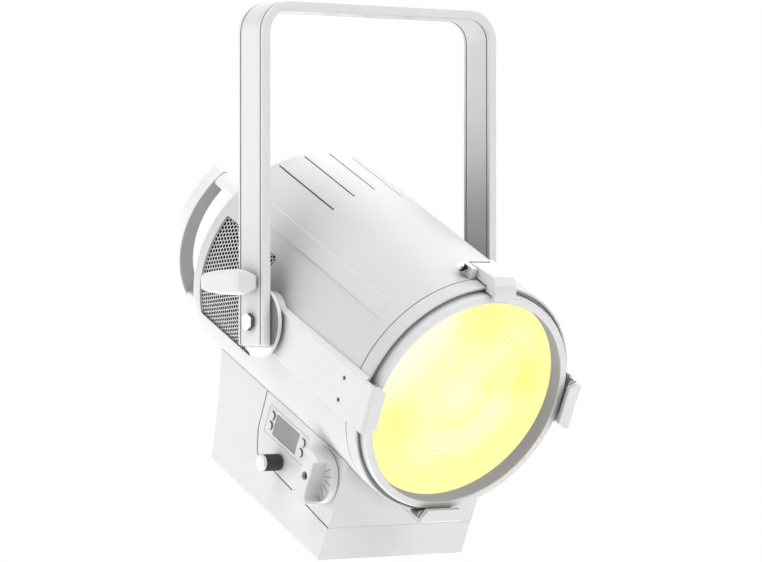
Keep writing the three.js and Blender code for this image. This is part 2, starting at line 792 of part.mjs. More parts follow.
/** The left grab handle: an arc behind the tube, on two posts that run forward to the rear cap. */
function rearHandle() {
  const { inner, outer, front, rear, from, to, post } = HANDLE;
  const grip = prism("y", sector(inner, outer, from, to, 12), [front, rear]);
  const posts = [from, to - post].map((angle) =>
    prism("y", sector(inner, outer, angle, angle + post, 2), [CAP.rear + GAP, front + 1]),
  );
  return join(grip, ...posts);
}

/** The loop for a safety cable, on a foot above the fan grille. */
function safetyEye() {
  const { footHalf, footHeight, foot, z, bow, hole, halfWidth, web } = EYE;
  const base = CAP.rear + foot;
  const plate = box(across(footHalf), [CAP.rear + GAP, base + GAP], [z - footHeight, z + footHeight]);
  const loop = prism("x", arc([base, z], bow, -90, 90, 10), across(halfWidth));
  return cut(join(plate, loop), cylinder("x", hole, across(2 * halfWidth), [base + web, z], 20));
}

/** The fan's square frame, with the hub seat held by four arms at its rear. */
function fanFrame() {
  const { half, bore, front, rear, hub, arm, armHalf, overlap } = FAN;
  const block = box(across(half), [front, rear], across(half));
  const shell = cut(block, cylinder("y", bore, [front - 1, rear + 1]));
  const arms = [45, 135].map((angle) =>
    box(across(bore + overlap), [rear - arm, rear], across(armHalf)).rotateY(radians(angle)),
  );
  const seat = cylinder("y", hub, [rear - arm, rear]);
  return cut(join(shell, ...arms, seat), cylinder("y", FAN.spindleBore, [rear - arm - 1, rear + 1]));
}

/** The fan's rotor: a hub with slanted blades and a spindle that runs in the hub seat. */
function fanRotor() {
  const { front, rear, hub, hubFront, hubRear, spindle, spindlePlay, blade, blades, overlap } = FAN;
  const span = [front + hubFront, rear - hubRear];
  const spindleBar = cylinder("y", spindle, [span[0] + 1, rear - spindlePlay]);
  const hubBody = join(cylinder("y", hub, span), spindleBar);
  const middle = (span[0] + span[1]) / 2;
  const wings = Array.from({ length: blades }, (_, i) =>
    box([hub - overlap, blade], across(FAN.bladeHalf), across(FAN.chordHalf))
      .rotateX(radians(FAN.pitch))
      .translate(0, middle, 0)
      .rotateY((2 * Math.PI * i) / blades),
  );
  return join(hubBody, ...wings);
}

add(head, "rear_cap", "paint", rearCap());
add(head, "rear_handle_left", "paint", rearHandle());
add(head, "rear_handle_right", "paint", mirrored(rearHandle()));
add(head, "safety_eye", "steel", safetyEye());
add(head, "fan_frame", "dark", fanFrame());
add(head, "fan_rotor", "dark", fanRotor());

// ---------------------------------------------------------------- base

/** The control housing: a front wall and two side walls, open above, below and behind. */
function controlHousing() {
  const { half, wall, front, top } = BASE;
  const seam = SEAM.map(([y, z]) => [y === front ? y : y - GAP, z + GAP]);
  const hollow = box(across(half - wall), [front + wall, REAR_TOP[0]], [BASE.bottom, top + 1]);
  const walls = cut(prism("x", [...seam, [front, top]], across(half)), hollow, tubeSeat());
  const side = [-half - 1, -half + wall + 1];
  const panelHole = box(
    side,
    [PANEL.front - GAP, PANEL.rear + GAP],
    [PANEL.bottom - GAP, PANEL.top + GAP],
  );
  const encoderHole = cylinder("x", ENCODER.bore, side, [ENCODER.y, ENCODER.z]);
  const shaftHole = cylinder("x", DIAL.bore, side, [DIAL.y, DIAL.z]);
  return cut(walls, panelHole, encoderHole, shaftHole);
}

/** The chassis: a tray whose sides rise to the tube behind the housing, with a leaning rear wall. */
function baseChassis() {
  const { half, wall, front, bottom, top } = BASE;
  const outline = [...SEAM, REAR_TOP, REAR_KNEE, REAR_FOOT, [front, bottom]];
  const hollow = [
    [front + wall, bottom + wall],
    [REAR_FOOT[0] - wall, bottom + wall],
    [REAR_KNEE[0] - wall, REAR_KNEE[1]],
    [REAR_TOP[0] - wall, top + 1],
    [front + wall, top + 1],
  ];
  const opening = box(across(PLATE.openingHalf), across(2 * THROUGH), across(PLATE.openingHeight));
  return cut(
    prism("x", outline, across(half)),
    prism("x", hollow, across(half - wall)),
    tubeSeat(),
    onRearFace(opening),
  );
}

const rearLean = Math.atan2(REAR_KNEE[0] - REAR_FOOT[0], REAR_KNEE[1] - REAR_FOOT[1]);
const rearMiddle = [(REAR_FOOT[0] + REAR_KNEE[0]) / 2, (REAR_FOOT[1] + REAR_KNEE[1]) / 2];

/** Puts a shape on the chassis's rear face: its +Y points out of that face, from the face's middle. */
function onRearFace(shape) {
  return shape.rotateX(-rearLean).translate(0, ...rearMiddle);
}

function connectorPlate() {
  const plate = box(across(PLATE.half), [GAP, PLATE.thickness + GAP], across(PLATE.halfHeight));
  const holes = PORTS.map(({ x, radius }) => cylinder("y", radius + GAP, [-1, 4], [x, 0], 18));
  return cut(onRearFace(plate), ...holes.map(onRearFace));
}

/** A round chassis connector: a barrel through the plate with a recessed face. */
function port({ x, radius, core }) {
  const barrel = cylinder("y", radius, [PORT.front, PORT.rear], [x, 0], 18);
  const recess = cylinder("y", core, [PORT.recess, PORT.rear + 1], [x, 0], 18);
  return cut(onRearFace(barrel), onRearFace(recess));
}

add(head, "control_housing", "paint", controlHousing());
add(head, "base_chassis", "paint", baseChassis());
add(head, "connector_plate", "alloy", connectorPlate());
PORTS.forEach((entry) => add(head, entry.name, entry.finish, port(entry)));
add(
  head,
  "power_supply",
  "alloy",
  box(POWER_SUPPLY.x, POWER_SUPPLY.y, [BASE.bottom + BASE.wall + GAP, POWER_SUPPLY.top]),
);

// ---------------------------------------------------------------- control side

const panelFace = -BASE.half;
const panelBack = -BASE.half + BASE.wall - GAP;

function controlPlate() {
  const plate = box([panelFace, panelBack], [PANEL.front, PANEL.rear], [PANEL.bottom, PANEL.top]);
  const span = [panelFace - 1, panelBack + 1];
  const windowHole = box(
    span,
    [DISPLAY.front - GAP, DISPLAY.rear + GAP],
    [DISPLAY.bottom - GAP, DISPLAY.top + GAP],
  );
  const buttonHoles = BUTTON.y.flatMap((y) =>
    BUTTON.z.map((z) => cylinder("x", BUTTON.bore, span, [y, z])),
  );
  return cut(plate, windowHole, ...buttonHoles);
}

/** The encoder's grooved knob, on a shaft that passes through the housing. */
function encoderKnob() {
  const { radius, teeth, toothDepth, length, cap, stand, shaftRadius, shaftEnd, y, z } = ENCODER;
  const outline = Array.from({ length: 2 * teeth }, (_, i) => {
    const angle = (Math.PI * i) / teeth;
    const reach = i % 2 ? radius - toothDepth : radius;
    return [y + reach * Math.cos(angle), z + reach * Math.sin(angle)];
  });
  const grip = prism("x", outline, [panelFace - stand, panelFace - length + cap]);
  return join(grip, cylinder("x", shaftRadius, [panelFace - 1, shaftEnd], [y, z]));
}

function encoderCap() {
  const { radius, toothDepth, length, cap, y, z } = ENCODER;
  const tip = panelFace - length;
  return cylinder("x", radius - toothDepth, [tip, tip + cap - GAP], [y, z], 24);
}

/** The focus dial: a disc with a diametral grip bar and a recess for the screw in its middle. */
function focusKnob() {
  const { radius, proud, gripProud, gripHalf, gripReach, recess, y, z } = DIAL;
  const base = panelFace - DIAL.lift;
  const disc = cylinder("x", radius, [base, panelFace - proud], [y, z], 36);
  const grip = common(
    box([base, panelFace - gripProud], [y - gripHalf, y + gripHalf], [z - gripReach, z + gripReach]),
    cylinder("x", radius, [base + 1, panelFace - gripProud - 1], [y, z], 36),
  );
  const tip = panelFace - gripProud;
  const bore = cylinder("x", DIAL.shaftRadius + GAP, [base + 1, base - DIAL.shaftLength], [y, z]);
  const screwWay = cylinder("x", DIAL.screwBore, [base, tip], [y, z]);
  const well = cylinder("x", recess, [tip - 1, tip + DIAL.recessDepth], [y, z]);
  return cut(join(disc, grip), bore, screwWay, well);
}

function focusKnobScrew() {
  const { gripProud, recess, screwSunk, screwHead, screwRadius, screwEnd, y, z } = DIAL;
  const top = panelFace - gripProud + screwSunk;
  const capHead = cylinder("x", recess - 2 * GAP, [top, top + screwHead], [y, z]);
  return join(capHead, cylinder("x", screwRadius, [top + 1, panelFace - screwEnd], [y, z]));
}

/** One tooth of the gear train, as [along the pitch line, height], with its root sunk into the body. */
const TOOTH = [
  [-1.45, -GEAR.dedendum - 0.6],
  [-1.35, -GEAR.dedendum],
  [-0.55, GEAR.addendum],
  [0.55, GEAR.addendum],
  [1.35, -GEAR.dedendum],
  [1.45, -GEAR.dedendum - 0.6],
];

/** The focus shaft with its pinion under the middle of the tube. A gap between teeth faces up at rest. */
function focusShaft() {
  const { teeth, pitchRadius, dedendum, half } = GEAR;
  const body = cylinder("x", pitchRadius - dedendum, across(half), [0, 0], 24);
  const cogs = Array.from({ length: teeth }, (_, i) =>
    prism("x", TOOTH, across(half))
      .translate(0, 0, pitchRadius)
      .rotateX((2 * Math.PI * (i + 0.5)) / teeth),
  );
  const bar = cylinder("x", DIAL.shaftRadius, [panelFace - DIAL.shaftLength, DIAL.shaftEnd]);
  return join(bar, body, ...cogs).translate([0, DIAL.y, DIAL.z]);
}

/** The rack under the carriage, in mesh with the pinion, with one tooth straight above it at rest. */
function focusRack() {
  const { pitchRadius, teeth, addendum, dedendum, half } = GEAR;
  const pitch = (2 * Math.PI * pitchRadius) / teeth;
  const pitchLine = DIAL.z + pitchRadius;
  const reach = Math.ceil((TRAVEL + RACK.spare) / pitch);
  const front = DIAL.y - (reach + 0.5) * pitch;
  const downTooth = TOOTH.map(([y, z]) => [y, -z]);
  const cogs = Array.from({ length: 2 * reach + 1 }, (_, i) =>
    prism("x", downTooth, across(half)).translate(0, DIAL.y + (i - reach) * pitch, pitchLine),
  );
  const root = pitchLine + dedendum;
  const bar = box(across(half), [front, -GAP], [root, root + RACK.thickness]);
  return join(bar, ...cogs);
}

/** The inner bearing of the focus shaft: a plate that stands on the base's front wall. */
function shaftBracket() {
  const { inner, thickness, footWidth, foot, low, high, crownHalf, shoulder, toe } = BRACKET;
  const wallBack = BASE.front + BASE.wall + GAP;
  const crown = DIAL.z + BRACKET.crown;
  const outline = [
    [wallBack, low],
    [wallBack, high],
    [DIAL.y - shoulder, high],
    [DIAL.y - crownHalf, crown],
    [DIAL.y + crownHalf, crown],
    [DIAL.y + crownHalf, high],
    [DIAL.y - toe, low],
  ];
  const flange = box([inner, inner + footWidth], [wallBack, wallBack + foot], [low, high]);
  const bore = cylinder("x", DIAL.bore, [inner - 1, inner + thickness + 1], [DIAL.y, DIAL.z]);
  return cut(join(prism("x", outline, [inner, inner + thickness]), flange), bore);
}

add(head, "control_plate", "paint", controlPlate());
add(
  head,
  "display_window",
  "display",
  box([panelFace + DISPLAY.sunk, panelBack], [DISPLAY.front, DISPLAY.rear], [DISPLAY.bottom, DISPLAY.top]),
);
add(head, "control_board", "board", box(CONTROL_BOARD.x, CONTROL_BOARD.y, CONTROL_BOARD.z));
BUTTON.y.forEach((y, column) =>
  BUTTON.z.forEach((z, row) =>
    add(
      head,
      `menu_button_${column * 2 + row + 1}`,
      "plastic",
      cylinder("x", BUTTON.radius, [-BUTTON.face, -BUTTON.back], [y, z], 20),
    ),
  ),
);
add(head, "encoder_knob", "dark", encoderKnob());
add(head, "encoder_cap", "plastic", encoderCap());
add(head, "focus_knob", "plastic", focusKnob());
add(head, "focus_knob_screw", "steel", focusKnobScrew());
add(head, "focus_shaft", "steel", focusShaft());
add(head, "shaft_bracket", "alloy", shaftBracket());

// ---------------------------------------------------------------- focus carriage

/** The ring at the front of the light path that holds the ends of both guide rods. */
function guideFrame() {
  const span = [FRAME.front, FRAME.rear];
  const plate = ring(FRAME.inner, FRAME.outer, ...span);
  const lugHeight = [ROD.z - CARRIAGE.lugHalf, ROD.z + CARRIAGE.lugHalf];
  const lugs = [-1, 1].map((side) =>
    box([side * (ROD.x - FRAME.lugInset), side * FRAME.lugEnd], span, lugHeight),
  );
  const notch = box(across(CARRIAGE.tongueHalf + 1), [span[0] - 1, span[1] + 1], FRAME.notch);
  const seats = [-1, 1].map((side) =>
    cylinder("y", ROD.bore, [ROD.front - GAP, FRAME.rear + 1], [side * ROD.x, ROD.z]),
  );
  return cut(join(plate, ...lugs), notch, ...seats);
}

/** The carriage: a plate on two guide sleeves, with a tongue down to the rack. */
function ledCarriage() {
  const { thickness, half, wing, tongueHalf, tongueEnd, sleeveRadius, sleeve } = CARRIAGE;
  const span = [0, thickness];
  const plate = box(across(half), span, across(half));
  const wings = box(across(ROD.x), span, [ROD.z - wing, ROD.z + wing]);
  const tongue = box(across(tongueHalf), span, [tongueEnd, CARRIAGE.tongueRoot]);
  const sleeves = [-1, 1].map((side) =>
    cylinder("y", sleeveRadius, sleeve, [side * ROD.x, ROD.z], 20),
  );
  const bores = [-1, 1].map((side) =>
    cylinder("y", ROD.bore, [sleeve[0] - 1, sleeve[1] + 1], [side * ROD.x, ROD.z]),
  );
  return cut(join(plate, wings, tongue, ...sleeves), ...bores);
}

function heatSink() {
  const { front, base, rear, half, fins, fin } = SINK;
  const plate = box(across(half), [front, base], across(half));
  const blades = Array.from({ length: fins }, (_, i) => {
    const x = -half + fin / 2 + ((2 * half - fin) * i) / (fins - 1);
    return box([x - fin / 2, x + fin / 2], [base - 1, rear], across(half));
  });
  return join(plate, ...blades);
}

/** The board that carries the emitter: a round plate with a low square light source. */
function ledBoard() {
  const { radius, front, half, face } = EMITTER;
  const source = box(across(half), [face, front + GAP], across(half));
  return join(cylinder("y", radius, [front, -GAP]), source);
}

/** The mixing cup: a flared tube in front of the emitter. */
function mixingCup() {
  const { rear, front, throat, mouth, wall, sides } = CUP;
  const profile = [
    [throat, rear],
    [throat + wall, rear],
    [mouth + wall, front],
    [mouth, front],
  ];
  return turned(profile, sides);
}

add(head, "guide_frame", "alloy", guideFrame());
[-1, 1].forEach((side) =>
  add(
    head,
    side < 0 ? "guide_rod_left" : "guide_rod_right",
    "steel",
    cylinder("y", ROD.radius, [ROD.front, ROD.rear], [side * ROD.x, ROD.z]),
  ),
);
add(head, "led_carriage", "alloy", ledCarriage());
add(head, "heat_sink", "alloy", heatSink());
add(head, "led_board", "emitter", ledBoard());
add(head, "mixing_cup", "reflector", mixingCup());
add(head, "focus_rack", "alloy", focusRack());

export default spotlight;
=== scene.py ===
"""The looks of a yoke-hung fresnel spotlight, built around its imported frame.

Shapes are made in millimetres about the middle of the tilt axis. Yoke pieces use the row frame's directions.
Head pieces use the head's own axes: Y runs along the tube towards its rear, Z points out of its top.
skin() turns a finished shape into the row frame and puts it on the body of the CAD node it stands for.
"""

import json
import math

import bmesh
import bpy
from mathutils import Matrix, Vector


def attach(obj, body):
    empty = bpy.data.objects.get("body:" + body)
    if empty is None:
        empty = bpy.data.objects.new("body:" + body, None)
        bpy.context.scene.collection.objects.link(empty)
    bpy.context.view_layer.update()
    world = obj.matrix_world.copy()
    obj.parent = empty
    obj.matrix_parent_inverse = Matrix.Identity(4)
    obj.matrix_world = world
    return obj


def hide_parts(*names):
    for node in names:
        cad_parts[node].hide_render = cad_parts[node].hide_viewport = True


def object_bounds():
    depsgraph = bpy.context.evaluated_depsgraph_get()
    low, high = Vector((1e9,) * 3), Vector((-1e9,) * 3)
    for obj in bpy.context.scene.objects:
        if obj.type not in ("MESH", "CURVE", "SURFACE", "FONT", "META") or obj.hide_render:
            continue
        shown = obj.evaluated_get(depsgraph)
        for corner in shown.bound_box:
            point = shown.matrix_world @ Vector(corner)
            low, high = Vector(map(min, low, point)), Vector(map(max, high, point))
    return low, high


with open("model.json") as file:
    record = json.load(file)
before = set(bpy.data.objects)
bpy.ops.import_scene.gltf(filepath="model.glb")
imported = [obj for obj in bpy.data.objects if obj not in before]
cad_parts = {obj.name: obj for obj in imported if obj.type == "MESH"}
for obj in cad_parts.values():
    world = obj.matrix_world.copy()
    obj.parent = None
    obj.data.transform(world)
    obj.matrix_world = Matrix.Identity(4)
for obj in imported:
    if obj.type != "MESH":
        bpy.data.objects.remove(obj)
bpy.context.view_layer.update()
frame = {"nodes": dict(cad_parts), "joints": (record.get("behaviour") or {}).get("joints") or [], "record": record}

# ---------------------------------------------------------------- frame

MM = 0.001
record = frame["record"]
joints = {joint["name"]: joint for joint in frame["joints"]}
body_of_node = {node: body for body, nodes in record["behaviour"]["bodies"].items() for node in nodes}


def axes(y_axis):
    """The matrix from millimetres about the middle of the tilt axis to the row frame."""
    x = Vector((1, 0, 0))
    y = Vector(y_axis).normalized()
    turn = Matrix((x, y, x.cross(y))).transposed().to_4x4()
    return Matrix.Translation(joints["tilt"]["pos_m"]) @ turn @ Matrix.Scale(MM, 4)


YOKE = axes((0, 1, 0))
HEAD = axes(joints["fan_spin"]["axis"])


def span(node, axis, place=HEAD):
    """The lowest and highest value of a CAD node along an axis of a frame, in millimetres."""
    back = place.inverted()
    values = [(back @ vertex.co)["xyz".index(axis)] for vertex in frame["nodes"][node].data.vertices]
    return min(values), max(values)


def middle(node, axis, place=HEAD):
    return sum(span(node, axis, place)) / 2


# ---------------------------------------------------------------- driving dimensions

SIDES = 160  # facets of a large round shape
GAP = 0.3  # clearance between pieces that rest on each other
SOFT = 0.8  # edge radius of cast and folded pieces
WELD = 0.002

TUBE_RADIUS = span("front_bezel", "z")[1]
TUBE_INNER = TUBE_RADIUS - 2
TUBE_FRONT, TUBE_REAR = span("tube_shell", "y")
RAIL_FACE = 119.7
CLIP_FRONT = span("bottom_clip", "y")[0]
RIM_FRONT, RIM_REAR = span("lens_rim", "y")
BEZEL_FRONT, BEZEL_REAR = span("front_bezel", "y")
LENS_RADIUS = span("fresnel_lens", "x")[1]
BASE_HALF = span("base_chassis", "x")[1]
BASE_FRONT = span("base_chassis", "y")[0]
BASE_BOTTOM = span("base_chassis", "z")[0]
BASE_WALL = 3
CAP_REAR = span("rear_cap", "y")[1]

# ---------------------------------------------------------------- outlines


def arc(centre, radius, start, end, steps=12):
    """Points on an arc, in degrees from the first axis towards the second."""
    turns = [math.radians(start + (end - start) * i / steps) for i in range(steps + 1)]
    return [(centre[0] + radius * math.cos(t), centre[1] + radius * math.sin(t)) for t in turns]


def rounded(points, radius=0.0, steps=4):
    """A closed outline with rounded corners; a third value on a point is that corner's own radius."""
    outline = []
    for i, point in enumerate(points):
        own = point[2] if len(point) > 2 else radius
        here = Vector(point[:2])
        to_last = Vector(points[i - 1][:2]) - here
        to_next = Vector(points[(i + 1) % len(points)][:2]) - here
        half = to_last.angle(to_next) / 2
        if own == 0 or math.cos(half) < 0.01:
            outline.append(tuple(here))
            continue
        run = min(own / math.tan(half), to_last.length * 0.49, to_next.length * 0.49)
        bisector = (to_last.normalized() + to_next.normalized()).normalized()
        centre = here + bisector * run / math.cos(half)
        start = here + to_last.normalized() * run - centre
        end = here + to_next.normalized() * run - centre
        sweep = math.pi - 2 * half
        for k in range(steps + 1):
            share = k / steps
            a, b = math.sin((1 - share) * sweep), math.sin(share * sweep)
            outline.append(tuple(centre + (start * a + end * b) / math.sin(sweep)))
    return outline


def inset(outline, distance):
    """The outline moved inwards by a distance, whichever way round it runs."""
    count = len(outline)
    points = [Vector(p) for p in outline]
    area = sum(points[i - 1].x * points[i].y - points[i].x * points[i - 1].y for i in range(count))
    turn = 1 if area > 0 else -1
    moved = []
    for i, here in enumerate(points):
        before = (here - points[i - 1]).normalized()
        after = (points[(i + 1) % count] - here).normalized()
        normal = Vector((-before.y - after.y, before.x + after.x)) * turn
        if normal.length < 0.01:
            moved.append(tuple(here))
            continue
        normal.normalize()
        stretch = max(0.35, abs(normal.dot(Vector((-before.y, before.x)))))
        moved.append(tuple(here + normal * distance / stretch))
    return moved


def rectangle(u, v, radius=0.0):
    """A rounded rectangle between two values on each axis."""
    return rounded([(u[0], v[0]), (u[1], v[0]), (u[1], v[1]), (u[0], v[1])], radius)


def across(value):
    return (-value, value)


# ---------------------------------------------------------------- solids


def hold(mesh):
    work = bpy.data.objects.new("work", mesh)
    bpy.context.scene.collection.objects.link(work)
    return work


def solid(points, faces):
    """A mesh with its shared points welded and its faces turned out, as a working object."""
    mesh = bpy.data.meshes.new("work")
    mesh.from_pydata(points, [], faces)
    form = bmesh.new()
    form.from_mesh(mesh)
    bmesh.ops.remove_doubles(form, verts=form.verts, dist=WELD)
    bmesh.ops.dissolve_degenerate(form, edges=form.edges, dist=WELD)
    bmesh.ops.recalc_face_normals(form, faces=form.faces)
    form.to_mesh(mesh)
    form.free()
    return hold(mesh)


def loft(rings, closed=False):
    """A skin over rings of equal length, with flat ends, or closed round on itself."""
    count = len(rings[0])
    points = [p for ring in rings for p in ring]
    faces = []
    for r in range(len(rings) if closed else len(rings) - 1):
        a, b = r * count, (r + 1) % len(rings) * count
        for i in range(count):
            j = (i + 1) % count
            faces.append((a + i, a + j, b + j, b + i))
    if not closed:
        faces.append(tuple(range(count)))
        faces.append(tuple(len(points) - 1 - i for i in range(count)))
    return solid(points, faces)


def at(axis, u, v, w):
    """A point from two coordinates across an axis, in X, Y, Z order, and one along it."""
    return {"x": (w, u, v), "y": (u, w, v), "z": (u, v, w)}[axis]


def prism(axis, outline, ends, soft=0.0, steps=3):
    """An outline run along an axis. soft rounds the edges of both ends, or of each end as given."""
    low, high = min(ends), max(ends)
    radii = soft if isinstance(soft, tuple) else (soft, soft)
    levels = []
    for end, radius, sign in ((low, radii[0], 1), (high, radii[1], -1)):
        turns = [math.pi / 2 * k / steps for k in range(steps + 1)] if radius else [math.pi / 2]
        curve = [(end + sign * radius * (1 - math.cos(t)), radius * (1 - math.sin(t))) for t in turns]
        levels += curve if sign > 0 else curve[::-1]
    rings = [[at(axis, u, v, w) for u, v in (inset(outline, d) if d > 1e-6 else outline)] for w, d in levels]
    return loft(rings)


def box(x, y, z, soft=0.0):
    """A box between two values on each axis, with all its edges rounded if soft is given."""
    return prism("z", rectangle(sorted(x), sorted(y), soft), z, soft)


def turned(axis, profile, centre=(0, 0), sides=SIDES):
    """A profile of (radius, along) turned about an axis. A profile that leaves the axis closes on itself."""
    points, faces = [], []
    for i in range(sides):
        turn = 2 * math.pi * i / sides
        c, s = math.cos(turn), math.sin(turn)
        points += [at(axis, centre[0] + r * c, centre[1] + r * s, w) for r, w in profile]
    count = len(profile)
    on_axis = profile[0][0] == 0 and profile[-1][0] == 0
    for i in range(sides):
        a, b = i * count, (i + 1) % sides * count
        for k in range(count - 1 if on_axis else count):
            n = (k + 1) % count
            faces.append((a + k, a + n, b + n, b + k))
    return solid(points, faces)


def cylinder(axis, radius, ends, centre=(0, 0), soft=0.0, sides=48):
    low, high = min(ends), max(ends)
    corners = [(0, low, 0), (radius, low), (radius, high), (0, high, 0)]
    return turned(axis, rounded(corners, soft), centre, sides)


def ring(axis, inner, outer, ends, soft=0.0, centre=(0, 0), sides=SIDES):
    low, high = min(ends), max(ends)
    corners = [(inner, low), (outer, low), (outer, high), (inner, high)]
    return turned(axis, rounded(corners, soft), centre, sides)


def settle(work):
    """Applies the work's modifiers to its mesh."""
    graph = bpy.context.evaluated_depsgraph_get()
    mesh = bpy.data.meshes.new_from_object(work.evaluated_get(graph))
    work.modifiers.clear()
    old = work.data
    work.data = mesh
    bpy.data.meshes.remove(old)
    return work


def combine(work, tools, operation):
    for tool in tools:
        modifier = work.modifiers.new(operation, "BOOLEAN")
        modifier.operation = operation
        modifier.solver = "MANIFOLD"
        modifier.object = tool
    settle(work)
    for tool in tools:
        bpy.data.objects.remove(tool)
    if not work.data.polygons:
        raise ValueError(f"{operation} left nothing")
    return work


def cut(work, *tools):
    return combine(work, tools, "DIFFERENCE")


def join(work, *tools):
    return combine(work, tools, "UNION")


def common(work, *tools):
    return combine(work, tools, "INTERSECT")


def merged(work, other):
    """Two separate bodies in one mesh."""
    form = bmesh.new()
    form.from_mesh(work.data)
    form.from_mesh(other.data)
    form.to_mesh(work.data)
    form.free()
    bpy.data.objects.remove(other)
    return work


def moved(work, matrix):
    work.data.transform(matrix)
    if matrix.determinant() < 0:
        work.data.flip_normals()
    return work


def turned_by(work, axis, degrees):
    return moved(work, Matrix.Rotation(math.radians(degrees), 4, axis))


def mirrored(work):
    return moved(work, Matrix.Diagonal((-1, 1, 1, 1)))


def drill(axis, radius, ends, centre=(0, 0), flare=0.5, sides=48):
    """A tool for a hole through a wall, with a small chamfer where it leaves each face."""
    low, high = min(ends), max(ends)
    wide = radius + flare + 1
    profile = [(0, low - 1), (wide, low - 1), (radius, low + flare)]
    profile += [(radius, high - flare), (wide, high + 1), (0, high + 1)]
    return turned(axis, profile, centre, sides)


# ---------------------------------------------------------------- materials


def feed(tree, node, key, value):
    """Links a socket to a node's input, or sets the input's value."""
    if isinstance(value, bpy.types.NodeSocket):
        tree.links.new(value, node.inputs[key])
    else:
        node.inputs[key].default_value = value


def add_node(tree, kind, inputs=(), **settings):
    made = tree.nodes.new(kind)
    for key, value in settings.items():
        setattr(made, key, value)
    for key, value in dict(inputs).items():
        feed(tree, made, key, value)
    return made


class Shader:
    """A node material. Its coordinates are millimetres in the row frame at rest."""

    def __init__(self, name):
        self.material = bpy.data.materials.new(name)
        self.material.use_nodes = True
        self.tree = self.material.node_tree
        self.surface = self.tree.nodes["Principled BSDF"]
        place = self.tree.nodes.new("ShaderNodeTexCoord")
        self.place = self.node("ShaderNodeVectorMath", {0: place.outputs["Object"]}, operation="SCALE")
        self.place.inputs["Scale"].default_value = 1 / MM

    def node(self, kind, inputs=(), **settings):
        return add_node(self.tree, kind, inputs, **settings)

    def set(self, **values):
        for key, value in values.items():
            feed(self.tree, self.surface, key.replace("_", " "), value)

    def dot(self, vector, way):
        made = self.node("ShaderNodeVectorMath", {0: vector, 1: way}, operation="DOT_PRODUCT")
        return made.outputs["Value"]

    def length(self, vector):
        return self.node("ShaderNodeVectorMath", {0: vector}, operation="LENGTH").outputs["Value"]

    def height(self):
        return self.node("ShaderNodeSeparateXYZ", {0: self.place.outputs[0]}).outputs["Z"]

    def camera_ray(self):
        return self.node("ShaderNodeLightPath").outputs["Is Camera Ray"]

    def math(self, operation, a, b=0.0, c=0.0):
        return self.node("ShaderNodeMath", {0: a, 1: b, 2: c}, operation=operation).outputs[0]

    def noise(self, size, detail=2.0, stretch=(1, 1, 1), vector=None):
        """Noise with features of about a size in millimetres, longer along a stretched axis."""
        inputs = {0: vector or self.place.outputs[0], 1: [1 / s for s in stretch]}
        scaled = self.node("ShaderNodeVectorMath", inputs, operation="MULTIPLY")
        inputs = {"Vector": scaled.outputs[0], "Scale": 1 / size, "Detail": detail}
        return self.node("ShaderNodeTexNoise", inputs).outputs["Fac"]

    def remap(self, value, low, high, to_low, to_high):
        inputs = {"Value": value, "From Min": low, "From Max": high, "To Min": to_low, "To Max": to_high}
        return self.node("ShaderNodeMapRange", inputs).outputs["Result"]

    def mix(self, share, a, b):
        return self.node("ShaderNodeMix", {"Factor": share, 6: a, 7: b}, data_type="RGBA").outputs[2]

    def bump(self, height, depth):
        """Lifts the surface by height, from 0 to 1, times a depth in millimetres."""
        inputs = {"Height": height, "Distance": depth * MM, "Strength": 1.0}
        self.set(Normal=self.node("ShaderNodeBump", inputs).outputs[0])


def shade(colour, factor):
    return tuple(min(1.0, c * factor) for c in colour[:3]) + (1.0,)


def finish(
    name,
    colour,
    roughness,
    metallic=0.0,
    grain=0.7,
    depth=0.012,
    patch=0.03,
    stretch=(1, 1, 1),
    coat=0.0,
    gap_shade=0.0,
):
    """A finish with a fine grain, a slow change of tone and a roughness that follows it.

    Its last argument is how much darker the finish is painted in gaps and corners: painted shade where other
    surfaces close it in.
    """
    shader = Shader(name)
    slow = shader.noise(45, 3)
    fine = shader.noise(grain, 2, stretch)
    tone = shader.mix(slow, shade(colour, 1 - patch), shade(colour, 1 + patch))
    # painted shade: darker where other surfaces close the finish in
    if gap_shade:
        gap = shader.node("ShaderNodeAmbientOcclusion", {"Distance": GAP_SHADE_REACH * MM}, samples=6)
        open_share = shader.remap(gap.outputs["AO"], 0.15, 0.85, 1 - gap_shade, 1.0)
        tone = shader.mix(open_share, (0.0, 0.0, 0.0, 1.0), tone)
    rough = shader.remap(shader.math("ADD", slow, fine), 0.6, 1.4, roughness - 0.06, roughness + 0.06)
    shader.set(Base_Color=tone, Roughness=rough, Metallic=metallic, Coat_Weight=coat)
    shader.bump(fine, depth)
    return shader.material


